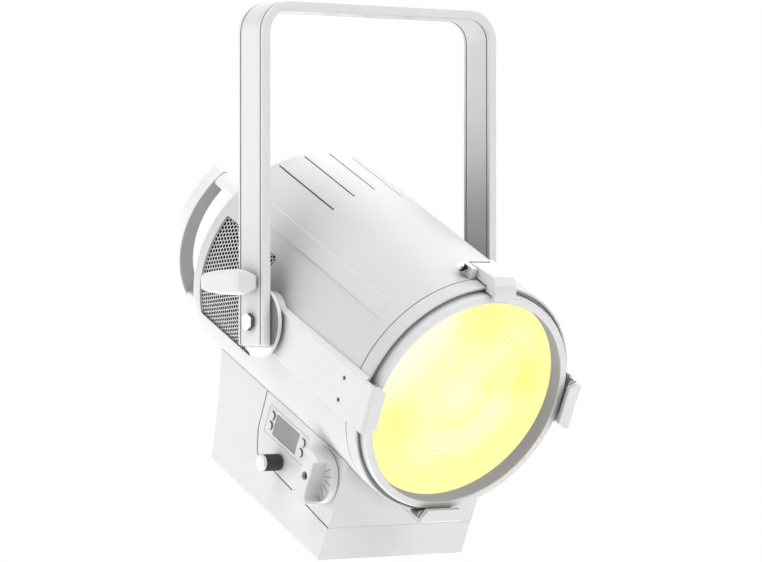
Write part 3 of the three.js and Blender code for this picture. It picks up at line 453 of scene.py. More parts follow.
def lens_glass():
    """The lit lens: a pale middle and upper left, and fine rings that sparkle in fans.

    It glows for the camera and throws only a little light, as the surfaces round it are lit by the studio.
    """
    shader = Shader("lens_glass")
    local = shader.node("ShaderNodeAttribute", attribute_name="local").outputs["Vector"]
    flat = shader.node("ShaderNodeVectorMath", {0: local, 1: (1, 0, 1)}, operation="MULTIPLY").outputs[0]
    radius = shader.length(flat)
    unit = shader.node("ShaderNodeVectorMath", {0: flat}, operation="NORMALIZE").outputs[0]
    drift = shader.remap(shader.noise(30, 2, vector=local), 0.3, 0.7, -0.06, 0.06)

    def zone(angle, narrow, wide, start, full, end, gone):
        """1 between two radii round a direction, falling to 0 over the given widths."""
        way = (math.cos(math.radians(angle)), 0, math.sin(math.radians(angle)))
        edges = (math.cos(math.radians(wide)), math.cos(math.radians(narrow)))
        turned_to = shader.remap(shader.math("ADD", shader.dot(unit, way), drift), *edges, 0.0, 1.0)
        rise = shader.remap(radius, start, full, 0.0, 1.0)
        fall = shader.remap(radius, end, gone, 1.0, 0.0)
        return shader.math("MULTIPLY", turned_to, shader.math("MINIMUM", rise, fall))

    wave = shader.math("SINE", shader.math("MULTIPLY", radius, 2 * math.pi / LENS_PITCH))
    crest = shader.remap(wave, -0.4, 1.0, -0.3, 0.7)
    patches = shader.remap(shader.noise(22, 2, vector=local), 0.35, 0.6, 0.45, 1.0)
    white = shader.remap(radius, 8, 66, 0.56, 0.2)
    for lift, sparkle, area in LENS_ZONES:
        share = zone(*area)
        white = shader.math("MULTIPLY_ADD", share, lift, white)
        if sparkle:
            lit = shader.math("MULTIPLY", shader.math("MULTIPLY", crest, patches), share)
            white = shader.math("MULTIPLY_ADD", lit, sparkle, white)
    glow = shader.mix(shader.remap(white, 0, 1, 0, 1), (1.0, 1.0, 0.3, 1), (1.0, 1.0, 0.86, 1))
    strength = shader.remap(shader.camera_ray(), 0, 1, 0.08, 1.0)
    shader.set(Base_Color=(0.02, 0.02, 0.01, 1), Roughness=0.12, Specular_IOR_Level=0.1)
    shader.set(Emission_Color=glow, Emission_Strength=strength)
    shader.bump(shader.noise(1.6, 1, vector=local), 0.02)
    return shader.material


def glowing_rim_wall():
    """The rim's warm grey lining, with a painted glow all round that stands in for the lens's light falling on it.
    """
    shader = Shader("glowing_rim_wall")
    fine = shader.noise(0.5, 2)
    tone = shader.mix(shader.noise(45, 3), (0.33, 0.315, 0.305, 1), (0.36, 0.345, 0.335, 1))
    shader.set(Base_Color=tone, Roughness=0.6, Emission_Color=tone, Emission_Strength=0.55)
    shader.bump(fine, 0.012)
    return shader.material


def shaded_arm():
    """The paint inside the yoke's arms: the head keeps the light from it, more so lower down."""
    shader = Shader("shaded_arm")
    share = shader.remap(shader.height(), *ARM_SHADE, 0.0, 1.0)
    share = shader.math("MULTIPLY_ADD", shader.noise(45, 3), 0.04, share)
    tone = shader.mix(share, (0.36, 0.36, 0.365, 1), (0.82, 0.825, 0.83, 1))
    shader.set(Base_Color=tone, Roughness=0.5)
    shader.bump(shader.noise(0.7, 2), 0.012)
    return shader.material


def ball_painted_reflection():
    """A mirror finish with a painted reflection in its colour: dark to its lower right, as of a dark floor and
    flag.
    """
    shader = Shader("ball_painted_reflection")
    normal = shader.node("ShaderNodeNewGeometry").outputs["Normal"]
    lower_right = Vector((0.57, -0.41, -0.6)).normalized()
    share = shader.remap(shader.dot(normal, lower_right), -0.15, 0.4, 0.0, 1.0)
    fine = shader.noise(1.5, 1)
    rough = shader.remap(fine, 0.3, 0.7, 0.1, 0.16)
    tone = shader.mix(share, (0.92, 0.93, 0.94, 1), (0.03, 0.03, 0.035, 1))
    shader.set(Base_Color=tone, Roughness=rough, Metallic=1.0)
    shader.bump(fine, 0.001)
    return shader.material


def disc_light_and_shade():
    """Bare metal with painted light and shade: bright low down, where light reaches under the yoke's arm, and dark
    higher up, in the arm's shadow.
    """
    shader = Shader("disc_light_and_shade")
    fine = shader.noise(0.5, 2)
    share = shader.remap(shader.height(), *DISC_SHADE_HEIGHTS, 0.0, 1.0)
    tone = shader.mix(share, (0.95, 0.95, 0.95, 1), (0.24, 0.24, 0.245, 1))
    shader.set(Base_Color=tone, Roughness=shader.remap(fine, 0.3, 0.7, 0.35, 0.45), Metallic=0.2)
    shader.bump(fine, 0.006)
    return shader.material


def circuit_board():
    """Green solder mask over a grid of tracks."""
    shader = Shader("circuit_board")
    parts = shader.node("ShaderNodeSeparateXYZ", {0: shader.place.outputs[0]})
    tracks = shader.math("SINE", shader.math("MULTIPLY", parts.outputs["Z"], 2.2))
    rows = shader.math("SINE", shader.math("MULTIPLY", parts.outputs["Y"], 1.3))
    grid = shader.remap(shader.math("MAXIMUM", tracks, rows), 0.9, 0.98, 0.0, 1.0)
    lit = shader.math("MULTIPLY", grid, shader.remap(shader.noise(9, 1), 0.45, 0.55, 0.0, 1.0))
    shader.set(Base_Color=shader.mix(lit, (0.02, 0.14, 0.05, 1), (0.06, 0.3, 0.12, 1)), Roughness=0.35)
    shader.bump(lit, 0.05)
    return shader.material


def display_glass():
    """The blank grey display: a slow, random change of tone under a clear coat."""
    shader = Shader("display_glass")
    soft = shader.noise(30, 1)
    tone = shader.mix(soft, (0.29, 0.29, 0.295, 1), (0.36, 0.36, 0.365, 1))
    shader.set(Base_Color=tone, Roughness=0.3, Coat_Weight=0.5, Specular_IOR_Level=0.2)
    shader.bump(shader.noise(0.35, 1), 0.004)
    return shader.material


LENS_PITCH = 4.5
# The lens's zones: how much whiter each is, how strongly its rings sparkle, then its direction and half
# widths in degrees and the radii between which it comes and goes.
LENS_ZONES = (
    (0.62, 0.1, (143, 20, 44, 36, 76, 92, 106)),
    (0.08, 0.75, (46, 8, 24, 40, 60, 84, 92)),
    (0.08, 0.75, (-118, 14, 34, 34, 48, 68, 80)),
    (0.22, 0.2, (-40, 30, 80, 32, 44, 58, 72)),
    (-0.24, 0.0, (18, 6, 26, 14, 32, 74, 100)),
    (-0.16, 0.0, (-70, 30, 80, 16, 27, 31, 40)),
    (-0.14, 0.0, (-148, 6, 24, 34, 50, 90, 100)),
    (-0.12, 0.0, (84, 6, 22, 52, 66, 90, 98)),
)
GAP_SHADE_REACH = 26  # how far from a surface others still cast painted shade on it
DISC_SHADE_HEIGHTS = (-323, -318)  # heights between which the friction discs' painted light turns to painted shade
ARM_SHADE = (-238, -60)  # heights between which the inside of the yoke's arms goes from dark to light

# the white paint, with painted shade in its gaps and corners
PAINT = finish("white_paint", (0.84, 0.845, 0.85), 0.5, gap_shade=0.5)
# the tube's and the bezel's paint: the white paint painted darker, as painted shade
TUBE_SHADE_PAINT = finish("tube_shade_paint", (0.74, 0.745, 0.75), 0.5, gap_shade=0.5)
# painted light: a brighter copy of the white paint, for the handles' outer faces and the encoder's cap
LIT_PAINT = finish("lit_paint", (0.97, 0.97, 0.97), 0.5)
SHADED_PAINT = finish("shaded_paint", (0.38, 0.38, 0.385), 0.5)
SHADED_ARM = shaded_arm()
SHADOW_LINE = finish("shadow_line", (0.22, 0.22, 0.225), 0.7, grain=0.5)
# black: the tube's own lining, and painted shade in and behind the side meshes
LINING_AND_SHADE = finish("lining_and_painted_shade", (0.012, 0.012, 0.013), 0.85, grain=1.2, depth=0.03)
GLOWING_RIM = glowing_rim_wall()
MESH_PAINT = finish("mesh_paint", (0.8, 0.8, 0.81), 0.45, grain=0.5, depth=0.01)
STEEL = finish("brushed_steel", (0.72, 0.73, 0.75), 0.28, 1.0, 0.5, 0.006, 0.05, (1, 1, 14))
DARK_STEEL = finish("dark_steel", (0.16, 0.16, 0.17), 0.35, 0.9, 0.5, 0.006, 0.08)
PAINTED_REFLECTION_BALL = ball_painted_reflection()
ALLOY = finish("bare_alloy", (0.56, 0.57, 0.59), 0.42, 0.9, 0.35, 0.006, 0.06, (12, 1, 1))
DISC_LIGHT_AND_SHADE = disc_light_and_shade()
BLACK_ALLOY = finish("black_anodised", (0.03, 0.03, 0.033), 0.45, 0.7, 0.4, 0.006, 0.1)
RUBBER = finish("rubber", (0.03, 0.03, 0.032), 0.8, grain=0.5, depth=0.03, patch=0.1)
WHITE_PLASTIC = finish("white_plastic", (0.82, 0.82, 0.825), 0.38, grain=0.35, depth=0.006, coat=0.15)
SHADED_PLASTIC = finish("shaded_plastic", (0.74, 0.74, 0.745), 0.38, grain=0.35, depth=0.006)
DARK_PLASTIC = finish("dark_plastic", (0.035, 0.035, 0.038), 0.5, grain=0.4, depth=0.015, patch=0.08)
KNOB_RUBBER = finish("knob_rubber", (0.055, 0.056, 0.06), 0.6, grain=0.4, depth=0.02, patch=0.08)
BLUE_PLASTIC = finish("blue_plastic", (0.02, 0.08, 0.36), 0.4, grain=0.4, depth=0.012, patch=0.06)
GREY_PLASTIC = finish("grey_plastic", (0.34, 0.34, 0.345), 0.4, grain=0.4, depth=0.012, patch=0.06)
REFLECTOR = finish("reflector", (0.85, 0.85, 0.84), 0.18, 0.6, 3.0, 0.05, 0.02)
EMITTER = finish("phosphor", (0.9, 0.68, 0.12), 0.5, grain=0.6, depth=0.05, patch=0.1)
LENS = lens_glass()
BOARD = circuit_board()
DISPLAY = display_glass()

# ---------------------------------------------------------------- pieces

SHARP = math.radians(44)


def smooth(work):
    work.data.shade_smooth()
    work.data.set_sharp_from_angle(angle=SHARP)
    modifier = work.modifiers.new("flats", "WEIGHTED_NORMAL")
    modifier.keep_sharp = True
    return work


def skin(node, work, material, place=HEAD, *others):
    """Puts a finished shape on the body of the CAD node that it stands for.

    Each of the others is a material and a test. Faces whose centre and normal, in the shape's own axes, pass
    the test get that material; a later one wins.
    """
    work.name = node + "_skin"
    work.data.name = work.name
    work.data.materials.clear()
    work.data.materials.append(material)
    for index, (other, test) in enumerate(others, 1):
        work.data.materials.append(other)
        for face in work.data.polygons:
            if test(face.center, face.normal):
                face.material_index = index
    work.data.transform(place)
    smooth(work)
    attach(work, body_of_node[node])
    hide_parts(node)


def outwards(p, normal):
    """How far a face looks away from the tube's axis: 1 straight out, -1 straight in."""
    return (normal.x * p.x + normal.z * p.z) / max(math.hypot(p.x, p.z), WELD)


def both_sides(name, shape, material, place=HEAD, *others):
    """A piece made for the -X side as NAME_left, and its mirror image as NAME_right."""
    skin(name + "_left", shape(), material, place, *others)
    skin(name + "_right", mirrored(shape()), material, place, *others)


# ---------------------------------------------------------------- yoke and tilt lock

YOKE_HALF = span("yoke_frame", "x", YOKE)[1]
YOKE_TOP = span("yoke_frame", "z", YOKE)[1]
YOKE_END = span("yoke_frame", "z", YOKE)[0]
YOKE_EDGE = span("yoke_frame", "y", YOKE)[1]
YOKE_THICK = 8.8
YOKE_CORNER = 30
YOKE_CHAMFER = 0.9
GROOVE = {"inset": 4.5, "width": 1.6, "depth": 0.7}
HANG_HOLES = {"radius": 7, "pitch": 45}
PIN_HOLES = {"radius": 2.5, "offset": 14}
BOLT_RADIUS = 5
STUD_RADIUS = 3
LOCK_HEIGHT = middle("lock_lever", "z", YOKE)


def yoke_profile():
    """The bar's cross-section, as (distance out of the U, y), with two grooves in each broad face."""
    lines = [-YOKE_EDGE + GROOVE["inset"], YOKE_EDGE - GROOVE["inset"]]
    half = GROOVE["width"] / 2

    def face(level, depth):
        return [
            (level + depth * deep, line + half * offset)
            for line in lines
            for offset, deep in ((-1, 0), (-0.5, 1), (0.5, 1), (1, 0))
        ]

    corner = 1.3
    outline = [(0, -YOKE_EDGE, corner)] + face(0, -GROOVE["depth"]) + [(0, YOKE_EDGE, corner)]
    outline += [(-YOKE_THICK, YOKE_EDGE, corner)] + face(-YOKE_THICK, GROOVE["depth"])[::-1]
    return rounded(outline + [(-YOKE_THICK, -YOKE_EDGE, corner)])


def yoke_tip(side, station):
    """The smaller outline that ends an arm, for a chamfer all round."""
    core = side * (YOKE_HALF - YOKE_THICK / 2)
    thinner, narrower = 1 - 2 * YOKE_CHAMFER / YOKE_THICK, 1 - YOKE_CHAMFER / YOKE_EDGE
    return [(core + (x - core) * thinner, y * narrower, z) for x, y, z in station]


def yoke_frame():
    """The profile run up one arm, round both corners and down the other arm, with its holes."""
    profile = yoke_profile()
    centre = (YOKE_HALF - YOKE_CORNER, YOKE_TOP - YOKE_CORNER)
    stations = [((YOKE_HALF, YOKE_END), 0)]
    for turn in range(0, 91, 5):
        stations.append((arc(centre, YOKE_CORNER, turn, turn, 1)[0], turn))
    stations += [((-x, z), 180 - turn) for (x, z), turn in stations[::-1]]
    rings = []
    for (x, z), turn in stations:
        c, s = math.cos(math.radians(turn)), math.sin(math.radians(turn))
        rings.append([(x + u * c, v, z + u * s) for u, v in profile])
    tips = [yoke_tip(1, rings[0]), yoke_tip(-1, rings[-1])]
    for end in (0, -1):
        rings[end] = [(x, y, z + YOKE_CHAMFER) for x, y, z in rings[end]]
    bar = loft([tips[0]] + rings + [tips[1]])
    crossbar = (YOKE_TOP - YOKE_THICK, YOKE_TOP)
    holes = [drill("z", HANG_HOLES["radius"], crossbar, (i * HANG_HOLES["pitch"], 0)) for i in (-1, 0, 1)]
    holes += [drill("z", PIN_HOLES["radius"], crossbar, (i * PIN_HOLES["offset"], 0)) for i in (-1, 1)]
    arm = (YOKE_HALF - YOKE_THICK, YOKE_HALF)
    holes += [drill("x", BOLT_RADIUS + 0.6, arm), drill("x", BOLT_RADIUS + 0.6, (-arm[0], -arm[1]))]
    holes.append(drill("x", STUD_RADIUS + 0.4, (-arm[0], -arm[1]), (0, LOCK_HEIGHT)))
    return cut(bar, *holes)


def lock_lever():
    """The lever, as sections through its CAD stations: a hub over the stud that sweeps back into a grip."""
    back = YOKE.inverted()
    stations = {}
    for vertex in frame["nodes"]["lock_lever"].data.vertices:
        p = back @ vertex.co
        stations.setdefault(round(p.y, 1), set()).add((round(p.x, 2), round(p.z - LOCK_HEIGHT, 2)))
    levels = sorted((y, corners) for y, corners in stations.items() if len(corners) >= 6)
    keys = []
    for y, corners in levels:
        inner, outer = max(x for x, _ in corners), min(x for x, _ in corners)
        inner_half = max(z for x, z in corners if x > inner - 0.1)
        outer_half = max(z for x, z in corners if x < outer + 0.1)
        keys.append((y, inner, outer, inner_half, outer_half))

    def blend(share):
        """A smooth curve through the stations, from 0 at the nose to 1 at the tail."""
        place = share * (len(keys) - 1)
        i = min(int(place), len(keys) - 2)
        t = place - i
        a, b, c, d = (keys[max(0, min(len(keys) - 1, i + k))] for k in (-1, 0, 1, 2))
        values = []
        for p, q, r, s in zip(a, b, c, d):
            square, cube = 2 * p - 5 * q + 4 * r - s, 3 * q - p - 3 * r + s
            values.append(0.5 * (2 * q + (r - p) * t + square * t * t + cube * t ** 3))
        return values

    def section(share, shrink=0.0, shift=0.0):
        y, inner, outer, inner_half, outer_half = blend(share)
        belly = (inner + outer * 2) / 3
        corners = [(inner, inner_half, 2), (belly, outer_half + 0.4, 8), (outer, outer_half - 0.6, 3)]
        corners += [(x, -z, r) for x, z, r in corners[::-1]]
        outline = rounded(corners, 0, 5)
        if shrink:
            outline = inset(outline, shrink)
        return [(x, y + shift, z + LOCK_HEIGHT) for x, z in outline]

    steps = 26
    rings = [section(0, 2.2, 0.0), section(0, 1.2, 0.35), section(0, 0.4, 1.0), section(0, 0, 1.9)]
    rings += [section(i / steps) for i in range(3, steps - 1)]
    rings += [section(1, 0.0, -2.6), section(1, 0.6, -1.2), section(1, 1.5, -0.3), section(1, 2.6, 0)]
    bore = cylinder("x", STUD_RADIUS + 0.4, (-YOKE_HALF + 6, -150.2), (0, LOCK_HEIGHT))
    return cut(loft(rings), bore)


def hex_head(inner, outer, flats):
    """A hexagon bolt head with its outer corners turned off."""
    corner = flats / 2 / math.cos(math.pi / 6)
    head = prism("x", arc((0, 0), corner, 90, 390, 5), (inner, outer))
    lift = (corner - flats / 2) * 0.6
    side = 1 if outer > inner else -1
    profile = [(0, inner - side), (corner + 1, inner - side), (corner + 1, outer - side * lift * 1.6)]
    profile += [(flats / 2 - 0.3, outer), (0, outer)]
    return common(head, turned("x", profile))


def tilt_bolt():
    outer, tip = span("tilt_bolt_left", "x", YOKE)
    shoulder = -YOKE_HALF - GAP
    head = hex_head(shoulder, outer, 14)
    return join(head, cylinder("x", BOLT_RADIUS, (shoulder - 1, tip), soft=0.6))


def friction_disc():
    outer, hub_inner = span("friction_disc_left", "x", YOKE)
    radius = span("friction_disc_left", "z", YOKE)[1]
    plate = outer + 4
    corners = [(BOLT_RADIUS + GAP, outer), (radius, outer, 0.7), (radius, plate, 0.7)]
    corners += [(22, plate), (22, hub_inner, 0.5), (BOLT_RADIUS + GAP, hub_inner)]
    return turned("x", rounded(corners))


def clamp_stud():
    tip, inner = span("clamp_stud", "x", YOKE)
    low, high = span("clamp_stud", "z", YOKE)
    shoe = box((inner - 2.5, inner), across(9), (low, high), 0.5)
    return join(shoe, cylinder("x", STUD_RADIUS, (inner - 1, tip), (0, LOCK_HEIGHT), 0.5))


def in_groove(p, normal):
    """Whether a point is down in one of the yoke's grooves, by its depth from both broad faces."""
    across_corner = max(abs(p.x) - (YOKE_HALF - YOKE_CORNER), 0)
    up_corner = max(p.z - (YOKE_TOP - YOKE_CORNER), 0)
    depth = YOKE_CORNER - math.hypot(across_corner, up_corner)
    on_line = abs(abs(p.y) - YOKE_EDGE + GROOVE["inset"]) < GROOVE["width"] / 2
    return on_line and 0.08 < depth < YOKE_THICK - 0.08


def inside_arm(p, normal):
    return abs(p.x) > YOKE_HALF - YOKE_CORNER and normal.x * math.copysign(1, p.x) < -0.6


skin("yoke_frame", yoke_frame(), PAINT, YOKE, (SHADED_ARM, inside_arm), (SHADOW_LINE, in_groove))
skin("lock_lever", lock_lever(), PAINT, YOKE)
skin("clamp_stud", clamp_stud(), STEEL, YOKE)
both_sides("tilt_bolt", tilt_bolt, STEEL, YOKE, (DARK_STEEL, lambda p, normal: abs(normal.x) < 0.5))
# the discs' broad faces carry the painted light and shade; their rims keep the white paint
both_sides("friction_disc", friction_disc, PAINT, YOKE, (DISC_LIGHT_AND_SHADE, lambda p, normal: abs(normal.x) > 0.95))

# ---------------------------------------------------------------- tube

STRIP = {"from": 135, "to": 144.5, "slope": 0.6, "proud": 1.5, "rear": 126, "front": -126, "toe": 4}
SLOT_WIDTH = 1.8
SLOT_REAR = 130
SLOTS = {62: 29, 76: 38, 90: 46, 104: 38, 118: 29}  # angle up from +X: where the slot ends in front
WINDOW = {"front": 30.4, "rear": 123.5, "half": 52}
SCREW_SEAT = {"y": -136, "z": 11, "hole": 2.2}
SOCKET_RADIUS = 12
BELLY = {"half": 60, "front": -115, "rear": 88}  # the opening in the tube's underside, above the base


def raised_strip(side):
    """A low ridge along the tube's flank, with sloped edges and a sloped front end."""
    top = TUBE_RADIUS + STRIP["proud"]
    start, end, slope = STRIP["from"], STRIP["to"], STRIP["slope"]

    def ring_at(shift):
        """The section's foot runs past its crest by shift at each end."""
        foot = [(TUBE_INNER + 0.8, start), (TUBE_RADIUS - 0.1, start)]
        crest = [(top, start + slope + (end - start - 2 * slope) * i / 6) for i in range(7)]
        far = [(TUBE_RADIUS - 0.1, end), (TUBE_INNER + 0.8, end)]
        rows = [(r, a, shift) for r, a in foot]
        rows += [(r, a, 0) for r, a in crest]
        rows += [(r, a, shift) for r, a in far]
        turns = [(r, math.radians(a), extra) for r, a, extra in rows]
        return [(side * r * math.cos(t), extra, r * math.sin(t)) for r, t, extra in turns]

    front = [(x, STRIP["front"] + extra, z) for x, extra, z in ring_at(-STRIP["toe"])]
    rear = [(x, STRIP["rear"] + extra, z) for x, extra, z in ring_at(2)]
    return loft([front, rear])


def tube_cutter():
    """What the tube takes out of a piece that is seated on its outside."""
    return cylinder("y", TUBE_RADIUS + 0.4, (TUBE_FRONT - 40, TUBE_REAR + 40), sides=SIDES)


def tube_shell():
    ends = (TUBE_FRONT, TUBE_REAR)
    shell = ring("y", TUBE_INNER, TUBE_RADIUS, ends, 0.35)
    shell = join(shell, raised_strip(1), raised_strip(-1))
    tools = []
    for angle, front in SLOTS.items():
        outline = rectangle(across(SLOT_WIDTH / 2), (front, SLOT_REAR), SLOT_WIDTH / 2 - 0.05)
        slot = prism("z", outline, (TUBE_INNER - 6, TUBE_RADIUS + 4))
        tools.append(turned_by(slot, "Y", 90 - angle))
    for side in (-1, 1):
        opening = rectangle((WINDOW["front"], WINDOW["rear"]), across(WINDOW["half"]), 2)
        tools.append(prism("x", opening, (side * 88, side * 122)))
        tools.append(cylinder("x", SOCKET_RADIUS + GAP, (side * 100, side * 125)))
        seat = (SCREW_SEAT["y"], side * SCREW_SEAT["z"])
        tools.append(cylinder("x", SCREW_SEAT["hole"], across(125), seat))
    tools.append(box(across(BELLY["half"]), (BELLY["front"], BELLY["rear"]), (-125, -80)))
    return cut(shell, *tools)


MESH = {"pitch": 4.25, "hole": 1.78, "sheet": 0.45, "shade_film": 0.2}  # the hole is a radius, the last two thicknesses
MESH_SHADE_FILM = -span("side_mesh_left", "x")[0] - 0.95  # radius of the dark film behind the perforated sheet, painted shade for the tube's inside seen through the holes


def mesh_cell(form, centre):
    """One hexagon of the sheet with a round hole in it."""
    rim, lip = [], []
    for k in range(12):
        turn = math.radians(30 * k)
        ray = Vector((math.cos(turn), math.sin(turn), 0))
        reach = MESH["pitch"] / math.sqrt(3) if k % 2 == 0 else MESH["pitch"] / 2
        rim.append(form.verts.new(centre + ray * reach))
        lip.append(form.verts.new(centre + ray * MESH["hole"]))
    for k in range(12):
        n = (k + 1) % 12
        form.faces.new((rim[k], rim[n], lip[n], lip[k]))


def flat_sheet(front, rear, half):
    """Hexagonal cells cut to a rectangle, in the plane of X (along the tube) and Y (round it)."""
    pitch = MESH["pitch"]
    step = pitch * math.sqrt(3) / 2
    form = bmesh.new()
    for column in range(int(front / step) - 1, int(rear / step) + 2):
        for row in range(-int(half / pitch) - 2, int(half / pitch) + 3):
            mesh_cell(form, Vector((column * step, (row + column % 2 / 2) * pitch, 0)))
    bmesh.ops.remove_doubles(form, verts=form.verts, dist=0.01)
    for point, normal in (
        ((front, 0, 0), (-1, 0, 0)),
        ((rear, 0, 0), (1, 0, 0)),
        ((0, half, 0), (0, 1, 0)),
        ((0, -half, 0), (0, -1, 0)),
    ):
        everything = form.verts[:] + form.edges[:] + form.faces[:]
        bmesh.ops.bisect_plane(form, geom=everything, plane_co=point, plane_no=normal, clear_outer=True)
    return form


def thickened(form, thickness):
    """A one-sided sheet made solid, inwards, as a working object."""
    mesh = bpy.data.meshes.new("work")
    form.to_mesh(mesh)
    form.free()
    work = hold(mesh)
    modifier = work.modifiers.new("sheet", "SOLIDIFY")
    modifier.thickness = thickness
    modifier.offset = -1
    settle(work)
    form = bmesh.new()
    form.from_mesh(work.data)
    bmesh.ops.recalc_face_normals(form, faces=form.faces)
    form.to_mesh(work.data)
    form.free()
    return work


def side_mesh():
    """The perforated panel, rolled to the tube's curve, with a thin dark film behind it as painted shade."""
    outer = -span("side_mesh_left", "x")[0]
    ends = span("side_mesh_left", "y")
    half = outer * math.asin(span("side_mesh_left", "z")[1] / outer)
    form = flat_sheet(*ends, half)
    for vertex in form.verts:
        along, around = vertex.co.x, vertex.co.y / outer
        vertex.co = (-outer * math.cos(around), along, outer * math.sin(around))
    turn = math.degrees(half / outer)
    near = arc((0, 0), MESH_SHADE_FILM, 180 - turn, 180 + turn, 24)
    far = arc((0, 0), MESH_SHADE_FILM - MESH["shade_film"], 180 + turn, 180 - turn, 24)
    return merged(thickened(form, MESH["sheet"]), prism("y", near + far, ends))


def inside_tube(p, normal):
    return math.hypot(p.x, p.z) < TUBE_INNER + 0.3 and outwards(p, normal) < -0.7


def in_mesh_shade(p, normal):
    """Whether a face is the dark film, a hole's wall or the sheet's back: faces painted black as shade."""
    return outwards(p, normal) < 0.6 or math.hypot(p.x, p.z) < MESH_SHADE_FILM + 0.2


# the tube: the darker white paint as painted shade, with its black lining inside
skin("tube_shell", tube_shell(), TUBE_SHADE_PAINT, HEAD, (LINING_AND_SHADE, inside_tube))
# the side meshes' hole walls, backs and the film behind them are painted black as shade
both_sides("side_mesh", side_mesh, MESH_PAINT, HEAD, (LINING_AND_SHADE, in_mesh_shade))

# ---------------------------------------------------------------- side rails and clips

RAIL = {"deep": 108, "boss": 28, "half_rear": 21, "half_front": 23, "draft": 4.5, "socket_end": 104}
CLIP = {
    "back": -163.7,
    "lip_back": -177.5,
    "channel": 115.2,
    "reach": 104.8,
    "half": 23,
    "lip_half": 17.5,
    "taper_from": 112,
    "divider": (-174.8, -173.6),
    "divider_reach": 109,
    "corner": 4.5,
}


def gel_clip():
    """A gel-frame clip on the +X side: a wall past the rim that turns in as a lip, with one divider."""
    c = CLIP
    side = rounded(
        [
            (c["channel"], c["back"]),
            (RAIL_FACE, c["back"]),
            (RAIL_FACE, CLIP_FRONT, c["corner"]),
            (c["reach"], CLIP_FRONT, 0.6),
            (c["reach"], c["lip_back"], 0.6),
            (c["channel"], c["lip_back"]),
            (c["channel"], c["divider"][0]),
            (c["divider_reach"], c["divider"][0]),
            (c["divider_reach"], c["divider"][1]),
            (c["channel"], c["divider"][1]),
        ],
        0,
        5,
    )
    facing = rounded(
        [
            (RAIL_FACE + 1, -c["half"]),
            (RAIL_FACE + 1, c["half"]),
            (c["taper_from"], c["half"], 3),
            (c["reach"] - 1, c["lip_half"], 0),
            (c["reach"] - 1, -c["lip_half"], 0),
            (c["taper_from"], -c["half"], 3),
        ]
    )
    body = prism("z", side, across(c["half"]), 0.5)
    return common(body, prism("y", facing, (c["back"], CLIP_FRONT - 1)))


def channel(depth):
    """The way for a gel frame, as a tool, from the clip's back forwards."""
    return box((100, CLIP["channel"]), (CLIP["back"] - depth, CLIP["back"]), across(30))


def drafted_bar():
    """The bar along the tube: its long edges lean out towards the root and are rounded at the face."""

    def section(x, grow):
        rear, front = RAIL["half_rear"] + grow, RAIL["half_front"] + grow
        nose = CLIP["back"] - 1
        return [(x, 0, rear), (x, nose, front), (x, nose, -front), (x, 0, -rear)]

    edge = ((1.6, 0.62), (0.9, 0.3), (0.4, -0.15), (0.1, -0.7), (0, -1.3))
    levels = [(RAIL["deep"], RAIL["draft"])] + [(RAIL_FACE - u, w) for u, w in edge]
    return loft([section(x, grow) for x, grow in levels])


def side_rail():
    """The right side rail: a boss on the tilt axis, a bar along the tube and a clip at its nose."""
    flare = RAIL["boss"] + 2
    profile = [(0, RAIL["deep"]), (flare, RAIL["deep"]), (RAIL["boss"], RAIL_FACE, 2), (0, RAIL_FACE)]
    bar = join(turned("x", rounded(profile)), drafted_bar())
    bar = cut(bar, tube_cutter(), channel(6))
    socket = cylinder("x", SOCKET_RADIUS, (RAIL["socket_end"], RAIL_FACE - 1), soft=0.5)
    bar = join(bar, socket, gel_clip())
    tools = [drill("x", BOLT_RADIUS + GAP, (RAIL["socket_end"], RAIL_FACE), flare=0.4)]
    for sign in (-1, 1):
        seat = (SCREW_SEAT["y"], sign * SCREW_SEAT["z"])
        tools.append(drill("x", SCREW_SEAT["hole"], (100, RAIL_FACE), seat, 0.4))
    return cut(bar, *tools)


def bottom_clip():
    ends = (CLIP["back"] - 1, BASE_FRONT - 1)
    foot = box((RAIL["deep"], RAIL_FACE), ends, across(CLIP["half"]), SOFT)
    foot = cut(foot, tube_cutter(), channel(3))
    return turned_by(join(foot, gel_clip()), "Y", 90)


def rail_screw(node, side):
    """A countersunk screw with a hexagon socket, sunk into the rail."""
    inner, outer = sorted(abs(x) for x in span(node, "x"))
    radius = 1.9
    centre = (SCREW_SEAT["y"], middle(node, "z"))
    body = cylinder("x", radius, (inner, outer), centre, 0.3)
    key = prism("x", arc(centre, 0.95, 0, 300, 5), (outer - 1.2, outer + 1))
    work = cut(body, key)
    return mirrored(work) if side < 0 else work


def rail(side):
    work = side_rail()
    return work if side > 0 else mirrored(work)


for hand, side in (("left", -1), ("right", 1)):
    skin("side_rail_" + hand, rail(side), PAINT)
    for level in ("upper", "lower"):
        node = f"rail_screw_{hand}_{level}"
        skin(node, rail_screw(node, side), DARK_STEEL)
skin("bottom_clip", bottom_clip(), PAINT)

# ---------------------------------------------------------------- top latch

RIM_OUTER = 110
LATCH = {
    "half": 12,
    "bracket": 18,
    "root": 104,
    "floor": 118.2,
    "rear": -126,
    "front": -146,
    "top": span("latch_bracket", "z")[1],
    "knuckle": 3.5,
    "heel": 116.2,
}
PIN = (-135, 122)
PIN_RADIUS = 2
LATCH_LIP = -174.9
LATCH_REACH = 107.8


def latch_bracket():
    height = (LATCH["root"], LATCH["top"])
    block = box(across(LATCH["bracket"]), (LATCH["front"], LATCH["rear"]), height, SOFT)
    pocket = box(
        across(LATCH["half"] + GAP),
        (LATCH["front"] - 2, LATCH["rear"] - 3.5),
        (LATCH["floor"], LATCH["top"] + 3),
    )
    hole = drill("x", PIN_RADIUS + GAP, across(LATCH["bracket"]), PIN, 0.3)
    return cut(block, tube_cutter(), pocket, hole)


